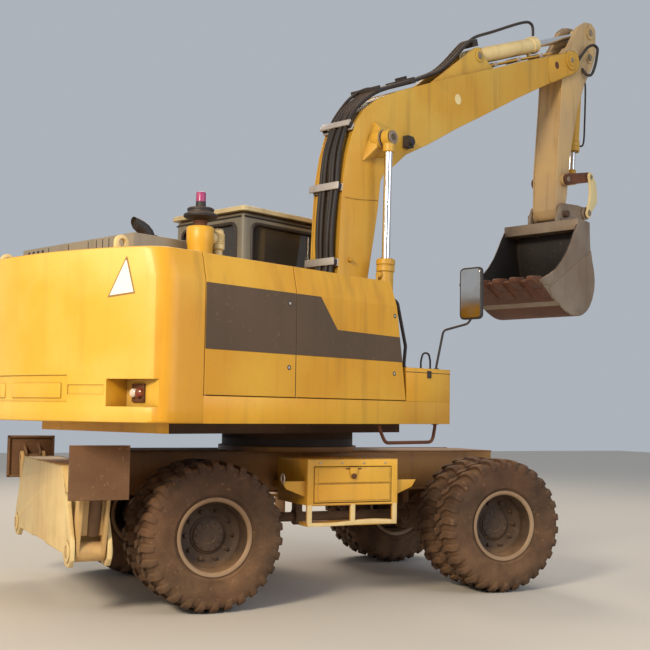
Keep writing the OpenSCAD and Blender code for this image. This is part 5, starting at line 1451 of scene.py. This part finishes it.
def makeIntake():
    bm = bmesh.new()
    at = Vector(intake["at"])
    for mat, key in enumerate(("bowl", "neck", "disc", "stem", "cap")):
        lathe(bm, intake[key], at, (0, 0, 1), 56, mat)
    lathe(bm, intake["canister"], at + Vector((0.160, 0, 0)), (0, 0, 1), 44, 5)
    for k in range(6):
        z = 0.014 + 0.013 * k
        lathe(bm, [(z, 0.050), (z + 0.002, 0.0575), (z + 0.005, 0.0575), (z + 0.007, 0.050)],
              at + Vector((0.160, 0, 0)), (0, 0, 1), 36, 5, True)
    lathe(bm, intake["elbow"], at + Vector((0, -0.004, 0.050)), (1, 0, 0), 40, 5)
    rod(bm, at + Vector((0, 0, 0.046)), at + Vector((0.11, 0, 0.046)), 0.034, 28, 5)
    meshes = [toMesh(bm, [yellow, rust, blackPlastic, blackPlastic, capPink, cream], 0.0, upper)]
    tooth = bmesh.new()
    block(tooth, (-0.004, -0.004, 0.0), (0.004, 0.004, 0.016))
    meshes.append(growMesh("ring", tooth, {"Count": 10, "Radius": 0.038, "Phase": 0.2,
                                           "Material": cream}, onUpper(at + Vector((0.160, 0, 0.110)))))
    meshes.append(boltRing(6, 0.068, 0.006, 0.006, zinc, onUpper(at + Vector((0, 0, 0.088)))))
    dress("air_intake", meshes, "hood", ground)


exhaust = {
    "y": -0.350,
    # Place along and above, tilt in degrees, radius
    "bend": [(-1.790, 2.590, 6, 0.056), (-1.795, 2.630, 14, 0.055), (-1.808, 2.657, 28, 0.053),
             (-1.832, 2.680, 44, 0.050), (-1.862, 2.697, 58, 0.046), (-1.892, 2.709, 70, 0.042),
             (-1.914, 2.720, 96, 0.036)],
    "collar": mm(0, 48, 0, 70, 10, 70, 12, 54),
}


def makeExhaust():
    # Horn that bends backwards and narrows to a slanted mouth
    bm = bmesh.new()
    rings = []
    for x, z, tilt, r in exhaust["bend"]:
        a = math.radians(tilt)
        rings.append([(x + r * math.cos(t) * math.cos(a), exhaust["y"] + r * math.sin(t),
                       z + r * math.cos(t) * math.sin(a)) for t in around(32)])
    mouth = [Vector(p) for p in rings[-1]]
    centre = sum(mouth, Vector()) / 32
    rings.append([p.lerp(centre, 0.12) for p in mouth])
    rings.append([p.lerp(centre, 0.16) + Vector((0.020, 0, -0.010)) for p in mouth])
    loft(bm, rings)
    lathe(bm, exhaust["collar"], (-1.790, exhaust["y"], 2.6275), (0, 0, 1), 32, 0, True)
    dress("exhaust", [toMesh(bm, [blackPlastic])], "hood", upper, 50)


makeIntake()
makeExhaust()
print("hood made")

# Cab

cab = {
    "side": mm(-270, 1388, 1350, 1388, 1350, 2088, 1190, 3123, -270, 3123),
    "room": mm(-220, 1438, 1300, 1438, 1300, 2084, 1150, 3085, -220, 3085),
    "y": (0.300, 1.205),
    "wall": 0.050,
    # Windows, with the radius of their corners last
    "right": (-0.180, 2.148, 1.020, 3.033, 0.085),
    "rear": (0.390, 2.248, 1.115, 3.033, 0.085),
    "front": (0.390, 1.688, 1.115, 3.033, 0.05),
    "leftRear": (-0.180, 2.148, 0.180, 3.033, 0.06),
    "door": (0.250, 1.448, 1.140, 3.033, 0.03),
    "roof": (-0.308, 0.262, 1.258, 1.243, 0.060),
    "seal": 0.015,
    "gutter": 3.082,
}


def cabWindow(key):
    return rectangle(*cab[key], 6)


def makeCab():
    y0, y1 = cab["y"]
    bm = bmesh.new()
    slab(bm, cab["side"], y0, y1)
    shell = bmesh.new()
    mesh = toMesh(bm, [cabPaint], 0.038, edgeSteps=4)
    shell.from_mesh(mesh)
    bpy.data.meshes.remove(mesh)
    cutter = bmesh.new()
    slab(cutter, cab["room"], y0 + cab["wall"], y1 - cab["wall"])
    shell = carve(shell, cutter)
    cutter = bmesh.new()
    slab(cutter, cabWindow("right"), y0 - 0.01, y0 + 0.06)
    slab(cutter, cabWindow("leftRear"), y1 - 0.06, y1 + 0.01)
    slab(cutter, cabWindow("door"), y1 - 0.06, y1 + 0.01)
    shell = carve(shell, cutter)
    for key, near, far in (("rear", 0.21, 0.28), ("front", -1.40, -0.95)):
        cutter = bmesh.new()
        slab(cutter, cabWindow(key), near, far)
        sideTurn(cutter)
        shell = carve(shell, cutter)
    meshes = [toMesh(shell, [cabPaint])]
    loops = [[(x, y, z) for x, z in insetOutline(cabWindow(key), 0.004)]
             for key, y in (("right", y0 - 0.001), ("leftRear", y1 + 0.001))]
    loops.append([(-0.271, y, z) for y, z in insetOutline(cabWindow("rear"), 0.004)])
    meshes += [sweep(loop, cab["seal"], seal, 10, True) for loop in loops]
    front = [(1.348 if z < 2.088 else 1.348 - 0.160 * (z - 2.088) / 1.035, y, z)
             for y, z in cabWindow("front")]
    meshes.append(sweep(front, 0.013, seal, 10, True))
    bm = bmesh.new()
    # Gutter, wiper, front handle and door hinges
    for y in (y0 - 0.004, y1 + 0.004):
        rod(bm, (-0.262, y, cab["gutter"]), (1.180, y, cab["gutter"]), 0.007, 12, 1)
    rod(bm, (-0.274, y0 + 0.03, cab["gutter"]), (-0.274, y1 - 0.03, cab["gutter"]), 0.007, 12, 1)
    tube(bm, [(1.352, 0.500, 1.700), (1.358, 0.560, 2.080), (1.262, 0.700, 2.700)], 0.007, 8, 2)
    handle = mm(1352, 345, 1650, 1390, 345, 1660, 1390, 345, 2060, 1350, 345, 2075, size=3)
    tube(bm, bentPath(handle, 0.03), 0.011, 10, 2)
    for z in (1.600, 2.020, 2.850):
        rod(bm, (0.240, y1 + 0.005, z - 0.035), (0.240, y1 + 0.005, z + 0.035), 0.011, 16, 2)
    meshes.append(toMesh(bm, [cabPaint, hoseAndShade, blackPlastic]))
    dress("cab_shell", meshes, "superstructure", upper)
    # Roof: a lip and a crowned skin above it
    flat = Matrix.Rotation(-math.pi / 2, 4, "X")
    bm = bmesh.new()
    plate(bm, rectangle(*cab["roof"]), [], -3.146, -3.1242, 0.004, 0, flat)
    skin = ((3.144, 0.004), (3.158, 0.004), (3.168, 0.014), (3.174, 0.034), (3.178, 0.052))
    loft(bm, [[(x, y, z) for x, y in insetOutline(rectangle(*cab["roof"]), inset)]
              for z, inset in skin])
    dress("cab_roof", [toMesh(bm, [roofPaint])], "superstructure", upper, 25)


makeCab()


def makeCabDoor():
    y1 = cab["y"][1]
    outline = rectangle(0.255, 1.453, 1.135, 3.028, 0.040)
    window = rectangle(0.320, 2.010, 1.070, 2.963, 0.070, 6)
    bm = bmesh.new()
    plate(bm, outline, [window[::-1]], y1 - 0.050, y1, 0.005)
    rod(bm, (0.267, y1 - 0.012, 1.428), (0.267, y1 - 0.012, 1.488), 0.008, 16, 1)
    plate(bm, rectangle(0.960, 1.860, 1.080, 1.930, 0.02), [], y1 - 0.002, y1 + 0.006, 0.002, 1)
    tube(bm, bentPath([(0.975, y1, 1.895), (0.975, y1 + 0.03, 1.895), (1.065, y1 + 0.03, 1.895),
                       (1.065, y1, 1.895)], 0.012), 0.006, 8, 1)
    meshes = [toMesh(bm, [cabPaint, blackPlastic])]
    loop = [(x, y1 + 0.001, z) for x, z in insetOutline(window, 0.004)]
    meshes.append(sweep(loop, 0.013, seal, 10, True))
    dress("cab_door", meshes, "cab_door", upper)


makeCabDoor()
print("cab made")

# Seat: frame, controls, and stuffed cushions


def stuffed(name, bm, cap):
    # Even mesh, blown up by a short cloth run, then evened out
    bmesh.ops.recalc_face_normals(bm, faces=bm.faces)
    piece = addObject(name, meshOf(bm, name))
    even = piece.modifiers.new("even", "REMESH")
    even.mode = "VOXEL"
    even.voxel_size = 0.010
    bake(piece)
    start = [vert.co.copy() for vert in piece.data.vertices]
    cloth = piece.modifiers.new("fill", "CLOTH")
    cloth.settings.use_pressure = True
    cloth.settings.uniform_pressure_force = 4
    cloth.settings.effector_weights.gravity = 0
    for frameNumber in range(1, 21):
        scene.frame_set(frameNumber)
    bake(piece)
    scene.frame_set(1)
    for vert, before in zip(piece.data.vertices, start):
        shift = vert.co - before
        if shift.length > cap:
            vert.co = before + shift.normalized() * cap
    smoother = piece.modifiers.new("smooth", "SMOOTH")
    smoother.factor = 0.5
    smoother.iterations = 4
    bake(piece)
    piece.data.materials.append(seatCloth)
    settle(piece, "superstructure", upper, (), 60)


seat = {
    "middle": 0.7525, "floor": 1.441, "postX": 0.300, "boxes": (0.420, 1.010), "pedals": (0.600, 0.860),
    "bellows": 1.502, "bellowsStep": 0.04, "wheelX": 0.885, "wheelZ": 2.085, "wheelR": 0.170,
    "cap": 0.012, "fill": 0.7,
}


def makeSeat():
    middle, floor, postX = seat["middle"], seat["floor"], seat["postX"]
    bm = bmesh.new()
    block(bm, (0.090, 0.575, 1.797), (0.550, 0.930, 1.875))
    for y in (0.520, 0.920):
        block(bm, (0.090, y, 1.797), (0.540, y + 0.065, 1.888))
    stuffed("seat_cushion", bm, seat["cap"])
    bm = bmesh.new()
    block(bm, (0.005, 0.600, 1.900), (0.085, 0.905, 2.500))
    for y in (0.540, 0.900):
        block(bm, (0.005, y, 1.905), (0.100, y + 0.065, 2.440))
    block(bm, (0.000, 0.610, 2.530), (0.080, 0.895, 2.725))
    stuffed("seat_back", bm, seat["cap"])
    bm = bmesh.new()
    block(bm, (0.130, 0.590, floor), (0.470, 0.915, 1.500))
    for k in range(6):
        lathe(bm, [(0, 0.10), (0.02, 0.15), (0.04, 0.10)],
              (postX, middle, seat["bellows"] + seat["bellowsStep"] * k), (0, 0, 1), 24, 0, True)
    rod(bm, (postX, middle, 1.445), (postX, middle, 1.770), 0.055, 24)
    block(bm, (0.075, 0.510, 1.762), (0.565, 0.995, 1.792))
    block(bm, (-0.018, 0.560, 1.792), (0.002, 0.945, 2.730))
    # Control boxes with levers
    for y in seat["boxes"]:
        block(bm, (0.060, y, 1.850), (0.480, y + 0.070, 1.960))
        block(bm, (0.150, y + 0.01, floor), (0.230, y + 0.06, 1.852))
        tube(bm, [(x, y + 0.035, z) for x, z in ((0.430, 1.955), (0.440, 2.030), (0.430, 2.140))],
             0.011, 10)
        lathe(bm, mm(0, 0, 0, 18, 50, 24, 100, 20, 110, 0), (0.430, y + 0.035, 2.110),
              (0, 0, 1), 20)
    # Steering column and wheel, pedals
    column = [(x, middle, z) for x, z in ((1.060, floor), (1.050, 1.800), (0.900, 2.060))]
    tube(bm, bentPath(column, 0.1), 0.035, 16)
    axis = Vector((-0.5, 0, 0.866))
    wheelPlace = facing(Vector((seat["wheelX"], middle, seat["wheelZ"])), axis)
    for x, y in circle(0, 0, 0.165, 3):
        rod(bm, wheelPlace @ Vector((0, 0, 0)), wheelPlace @ Vector((x, y, 0)), 0.010, 12)
    meshes = [toMesh(bm, [blackPlastic], 0.004)]
    loop = [wheelPlace @ Vector((x, y, 0)) for x, y in circle(0, 0, seat["wheelR"], 40)]
    meshes.append(sweep(loop, 0.014, blackPlastic, 12, True))
    bm = bmesh.new()
    for y in seat["pedals"]:
        block(bm, (1.100, y, floor), (1.230, y + 0.10, 1.465))
        block(bm, (1.120, y + 0.01, 1.465), (1.240, y + 0.09, 1.500))
    block(bm, (1.130, 0.370, 1.460), (1.260, 0.480, 2.050))
    meshes.append(toMesh(bm, [dark], 0.006))
    dress("seat", meshes, "superstructure", upper)


makeSeat()
print("seat made")

# Handrails, mirror, tail lamps

rails = {
    "grab": mm(95, -1173, 1765.5, 95, -1173, 1800, 112, -1173, 1932, 5, -1173, 2268, -55, -1173, 2290,
               size=3),
    "step": mm(-200, -1173, 1325.5, -195, -1173, 1290, -125, -1173, 1182, 468, -1173, 1182, 500, -1173,
               1300, 500, -1173, 1325.5, size=3),
    "hoop": mm(440, -1073, 1765.5, 440, -1073, 1830, 465, -1073, 1902, 545, -1073, 1902, 565, -1073, 1840,
               565, -1073, 1765.5, size=3),
    "mirrorArm": mm(545, -1150, 1765.5, 545, -1150, 1790, 592, -1185, 2088, 768, -1300, 2150,
                    782, -1325, 2190, 784, -1328, 2300, size=3),
    "bend": 0.05, "bar": 0.0135, "thinBar": 0.008, "armBar": 0.0095,
    "feet": mm(95, -1173, 1765.5, 440, -1073, 1765.5, 565, -1073, 1765.5, size=3),
    "stepFeet": mm(-200, -1173, 1326.5, 500, -1173, 1326.5, size=3),
    "mirrorFoot": (0.545, -1.150, 1.7656),
}

lamps = {"back": -2.345, "plate": -2.3301, "z": 1.512, "middle": 1.010, "apart": 0.029}


def makeRails():
    meshes = [sweep(bentPath(rails["grab"], rails["bend"]), rails["bar"], hoseAndShade, 12),
              sweep(bentPath(rails["step"], 0.07), rails["bar"], rust, 12),
              sweep(bentPath(rails["hoop"], rails["bend"]), rails["thinBar"], hoseAndShade, 10)]
    bm = bmesh.new()
    for foot in rails["feet"]:
        lathe(bm, mm(0, 0, 0, 26, 5, 26, 6, 16, 12, 16, 12, 0), foot, (0, 0, 1), 20)
    for foot in rails["stepFeet"]:
        lathe(bm, mm(0, 0, 0, 28, 5, 28, 6, 0), foot, (0, 0, -1), 20)
    meshes.append(toMesh(bm, [hoseAndShade]))
    dress("handrails", meshes, "superstructure", upper, 40)
    # Mirror on its cranked arm
    meshes = [sweep(bentPath(rails["mirrorArm"], rails["bend"]), rails["armBar"], hoseAndShade, 12)]
    bm = bmesh.new()
    turn = Matrix.Rotation(math.pi / 2, 4, "Z")
    plate(bm, rectangle(-1.440, 2.185, -1.220, 2.615, 0.045), [], -0.798, -0.7612, 0.012, 0, turn)
    plate(bm, rectangle(-1.425, 2.200, -1.235, 2.600, 0.034), [], -0.7618, -0.7604, 0.0005, 1, turn)
    lathe(bm, mm(0, 0, 0, 22, 10, 22, 12, 12, 12, 0), rails["mirrorFoot"], (0, 0, 1), 20)
    meshes.append(toMesh(bm, [blackPlastic, mirrorGlass]))
    dress("rear_mirror", meshes, "superstructure", upper, 40)
    bm = bmesh.new()
    for side in (1, -1):
        mid = side * lamps["middle"]
        block(bm, (lamps["back"], mid - 0.060, 1.457), (lamps["plate"], mid + 0.060, 1.567), 0)
        for y, mat in ((mid - lamps["apart"], 1), (mid + lamps["apart"], 2)):
            lathe(bm, mm(0, 0, 0, 29, 20, 27, 22, 24, 28, 18, 30, 0),
                  (lamps["back"], y, lamps["z"]), (-1, 0, 0), 28, mat)
    dress("lamps", [toMesh(bm, [rust, lensRed, lensClear])], "superstructure", upper)


makeRails()
print("rails, mirror and lamps made")

# Toolbox with its door and step

toolboxParts = {
    "x": (-0.350, 0.395), "y": -1.200, "door": (-0.295, 0.340, 0.749, 1.007),
}


def toolboxDetails():
    x0, x1 = toolboxParts["x"]
    y = toolboxParts["y"]
    bm = bmesh.new()
    # Sagging step bar and posts in front of the CAD ones, ring on the rear wing, hinge line
    rows = []
    for k in range(13):
        t = k / 12
        sag = 0.010 * math.sin(t * math.pi * 2.0 + 3.4) + 0.004
        x = x0 + 0.004 + (x1 - x0 - 0.008) * t
        rows.append([(x, y + dy, z) for dy, z in (
            (-0.0015, 0.5785 + sag * 0.4), (-0.0015, 0.606 + sag), (0.03, 0.607 + sag),
            (0.03, 0.5785 + sag * 0.4))])
    loft(bm, rows, 0)
    for x in (x0 + 0.020, (x0 + x1) / 2, x1 - 0.020):
        block(bm, (x - 0.019, y - 0.001, 0.600), (x + 0.019, y + 0.012, 0.733), 0)
    meshes = [toMesh(bm, [cream], 0.002)]
    loop = [(-0.525, y + 0.05 + 0.030 * math.cos(a), 0.925 + 0.034 * math.sin(a))
            for a in around(24)]
    meshes.append(sweep(loop, 0.006, zinc, 10, True))
    frameLine = ((x0 - 0.001, 0.728), (x0 - 0.001, 1.064), (x1 + 0.001, 1.064), (x1 + 0.001, 0.728))
    meshes.append(weld([(x, y + 0.004, z) for x, z in frameLine], 0.004, yellow, True))
    meshes.append(boltRow(4, (0.18, 0, 0), 0.007, 0.005, zinc,
                          facing((x0 + 0.10, y - 0.0002, 1.036), (0, -1, 0))))
    return meshes


softened("toolbox", "chassis", yellow, 0.004, toolboxDetails())


def doorDetails():
    x0, x1, z0, z1 = toolboxParts["door"]
    y = toolboxParts["y"]
    bm = bmesh.new()
    for area, near, far in (((x0 + 0.03, 0.893, x1 - 0.012, z1 - 0.012), -0.003, 0.004),
                            ((x0 + 0.03, z0 + 0.012, x1 - 0.012, 0.880), -0.003, 0.004),
                            ((-0.010, 0.955, 0.055, 1.004), -0.013, -0.002)):
        plate(bm, rectangle(*area, 0.006), [], y + near, y + far, 0.002)
    rod(bm, (0.022, y - 0.004, 0.940), (0.022, y - 0.020, 0.940), 0.020, 24, 1)
    block(bm, (-0.040, y - 0.006, 0.990), (0.085, y - 0.002, 0.998), 1)
    return [toMesh(bm, [yellow, rust])]


softened("toolbox_door", "toolbox_door", yellow, 0.003, doorDetails())
softened("cab_steps", "chassis", yellow, 0.003)
print("toolbox made")

# Chassis, axles, knuckles


def chassisDetails():
    bm = bmesh.new()
    # Drive shaft between the axles with its joints and middle bearing
    ends = (machine["rearX"] + 0.20, machine["frontX"] - 0.20)
    rod(bm, (ends[0], 0, machine["wheelR"]), (ends[1], 0, machine["wheelR"]), 0.040, 28)
    for x in (ends[0] + 0.05, 0.10, ends[1] - 0.05):
        rod(bm, (x - 0.035, 0, machine["wheelR"]), (x + 0.035, 0, machine["wheelR"]), 0.068, 28)
    block(bm, (0.070, -0.045, 0.540), (0.130, 0.045, 0.775))
    meshes = [toMesh(bm, [axleSteel], 0.004)]
    for side in (1, -1):
        for z in (0.772, 1.088):
            seam = [(x, side * 0.3705, z) for x in (-1.70, -0.4, 1.80)]
            meshes.append(weld(seam, 0.010, shadedFrameYellow))
    return meshes


# The frame's darker paint is a painted shade
softened("chassis_frame", "chassis", shadedFrameYellow, 0.006, chassisDetails())


def axleDetails(x, place=ground):
    meshes = []
    for side in (1, -1):
        meshes.append(boltRing(14, 0.175, 0.010, 0.010, axleSteel,
                               place @ facing((x, side * 0.06, machine["wheelR"]), (0, side, 0))))
    bm = bmesh.new()
    centre = (x, 0, machine["wheelR"])
    lathe(bm, mm(-100, 0, -100, 100, -90, 150, -50, 195, 50, 195, 90, 150, 100, 100, 100, 0), centre,
          (0, 1, 0), 40)
    for dx in (-0.21, 0.21):
        rod(bm, centre, (x + dx, 0, machine["wheelR"]), 0.075, 28)
    meshes.append(toMesh(bm, [axleSteel], 0.0, place))
    return meshes


softened("rear_axle", "chassis", axleSteel, 0.004, axleDetails(machine["rearX"]))
softened("front_axle", "chassis", axleSteel, 0.004, axleDetails(machine["frontX"]))
for side, label in sides:
    softened("knuckle_" + label, "knuckle_" + label, axleSteel, 0.004)
print("chassis made")

# Stabilisers

stabiliser = {
    "x": (-2.030, -1.750), "pad": (-2.090, -1.690, 0.810, 1.170), "padY": (1.260, 1.286),
    "legY": 1.020, "legZ": 0.450,
}


def beamDetails():
    x0, x1 = stabiliser["x"]
    bm = bmesh.new()
    for side in (1, -1):
        # End plates of the pins, and stiffeners near the top
        for x, out in ((x0, -1), (x1, 1)):
            lathe(bm, mm(0, 40, 0, 75, 10, 75, 13, 40),
                  (x, side * stabiliser["legY"], stabiliser["legZ"]), (out, 0, 0), 32, 0, True)
        loft(bm, [[(x, side * 0.905, 0.835), (x, side * 0.765, 1.014), (x, side * 0.740, 1.014),
                   (x, side * 0.880, 0.835)] for x in (x0 - 0.004, x1 + 0.004)])
    meshes = [toMesh(bm, [cream], 0.002)]
    for x in (x0 - 0.001, x1 + 0.001):
        seam = ((-0.90, 0.84), (-0.76, 1.010), (0.76, 1.010), (0.90, 0.84))
        meshes.append(weld([(x, y, z) for y, z in seam], 0.006, cream))
    return meshes


softened("stabiliser_beam", "chassis", cream, 0.006, beamDetails())


def legDetails(side):
    # Ram between the plates of the leg
    base = Vector((-1.875, side * 1.045, 0.560))
    end = Vector((-1.875, side * 1.160, 0.940))
    along = (end - base).normalized()
    bm = bmesh.new()
    lathe(bm, mm(0, 0, 0, 40, 10, 50, 255, 50, 258, 56, 285, 56, 290, 30, 290, 0), base, along, 32, 0)
    rod(bm, base + along * 0.28, end, 0.026, 24, 1)
    return [toMesh(bm, [axleSteel, chrome])]


def padDetails(side):
    x0, x1, z0, z1 = stabiliser["pad"]
    inner = side * stabiliser["padY"][0]
    bm = bmesh.new()
    # Rim on the inner face
    y0, y1 = sorted((inner, inner - side * 0.022))
    for z in (z0 + 0.012, z1 - 0.012):
        block(bm, (x0 + 0.004, y0, z - 0.008), (x1 - 0.004, y1, z + 0.008))
    for x in (x0 + 0.012, x1 - 0.012):
        block(bm, (x - 0.008, y0, z0 + 0.004), (x + 0.008, y1, z1 - 0.004))
    return [toMesh(bm, [padSteel], 0.003)]


for side, label in sides:
    softened("leg_" + label, "leg_" + label, sand, 0.004, legDetails(side))
    softened("pad_" + label, "pad_" + label, padSteel, 0.005, padDetails(side))
print("stabilisers made")


# CAD parts that keep their shape and get a finish

carried = {
    # The slew ring's dark finish is a painted shade in the gap under the upper part
    "slew_ring": dark, "tie_rod": axleSteel, "engine_block": dark, "cab_glass": pane,
    "cab_door_glass": pane,
}
for name, finish in carried.items():
    for holder in nodes[name].material_slots:
        holder.material = finish
print("CAD parts dressed")

# Camera at the photograph's standpoint

standpoint = {
    "place": (-3.5633, -8.2772, 1.4111),
    "heading": 25.51,
    "pitch": 4.0,
    "roll": 0.81,
    "lens": 58.81,
    "shift": (-0.0077, 0.0196),
}


def makeCamera():
    heading, pitch, roll = (math.radians(standpoint[key]) for key in ("heading", "pitch", "roll"))
    forward = Vector((math.sin(heading) * math.cos(pitch), math.cos(heading) * math.cos(pitch),
                      math.sin(pitch)))
    right = Vector((math.cos(heading), -math.sin(heading), 0))
    up = right.cross(forward)
    across = right * math.cos(roll) + up * math.sin(roll)
    over = up * math.cos(roll) - right * math.sin(roll)
    camera = addObject("camera", bpy.data.cameras.new("camera"))
    camera.matrix_world = (Matrix.Translation(standpoint["place"])
                           @ Matrix((across, over, -forward)).transposed().to_4x4())
    camera.data.lens = standpoint["lens"]
    camera.data.sensor_width = 36.0
    camera.data.shift_x, camera.data.shift_y = standpoint["shift"]
    camera.data.clip_end = 200.0
    scene.camera = camera


makeCamera()

# Floor and light

studio = {
    "floorHalf": 26.0,
    "floorTone": (206, 198, 186),
    "worldTone": (214, 222, 232),
    "worldPower": 0.62,
    "lights": {
        "key": {"at": (-9.5, -8.0, 7.0), "size": 3.0, "power": 1500.0, "tint": (255, 240, 214)},
        "fill": {"at": (7.0, -11.0, 6.0), "size": 6.0, "power": 420.0, "tint": (226, 236, 255)},
        "rim": {"at": (3.0, 10.0, 9.0), "size": 6.0, "power": 700.0, "tint": (255, 240, 220)},
    },
    "aim": (0.8, 0.2, 2.2),
}


def makeFloor():
    half = studio["floorHalf"]
    bm = bmesh.new()
    bm.faces.new([bm.verts.new((x, y, 0)) for x, y in
                  ((-half, -half), (half, -half), (half, half), (-half, half))])
    floor = addObject("floor", meshOf(bm, "floor"))
    finish = bpy.data.materials.new("floor")
    finish.use_nodes = True
    shader = finish.node_tree.nodes["Principled BSDF"]
    shader.inputs["Base Color"].default_value = tone(*studio["floorTone"])
    shader.inputs["Roughness"].default_value = 0.9
    floor.data.materials.append(finish)


def makeLights():
    for name, each in studio["lights"].items():
        data = bpy.data.lights.new(name, "AREA")
        data.shape = "DISK"
        data.size = each["size"]
        data.energy = each["power"]
        data.color = tone(*each["tint"])[:3]
        light = addObject(name, data)
        aim = Vector(studio["aim"]) - Vector(each["at"])
        turn = aim.to_track_quat("-Z", "Y").to_matrix().to_4x4()
        light.matrix_world = Matrix.Translation(each["at"]) @ turn
    world = bpy.data.worlds.new("studio")
    world.use_nodes = True
    sky = world.node_tree.nodes["Background"]
    sky.inputs["Color"].default_value = tone(*studio["worldTone"])
    sky.inputs["Strength"].default_value = studio["worldPower"]
    scene.world = world
    scene.view_settings.view_transform = "Standard"


makeFloor()
makeLights()
print("floor, lights and camera set")

bpy.context.view_layer.update()
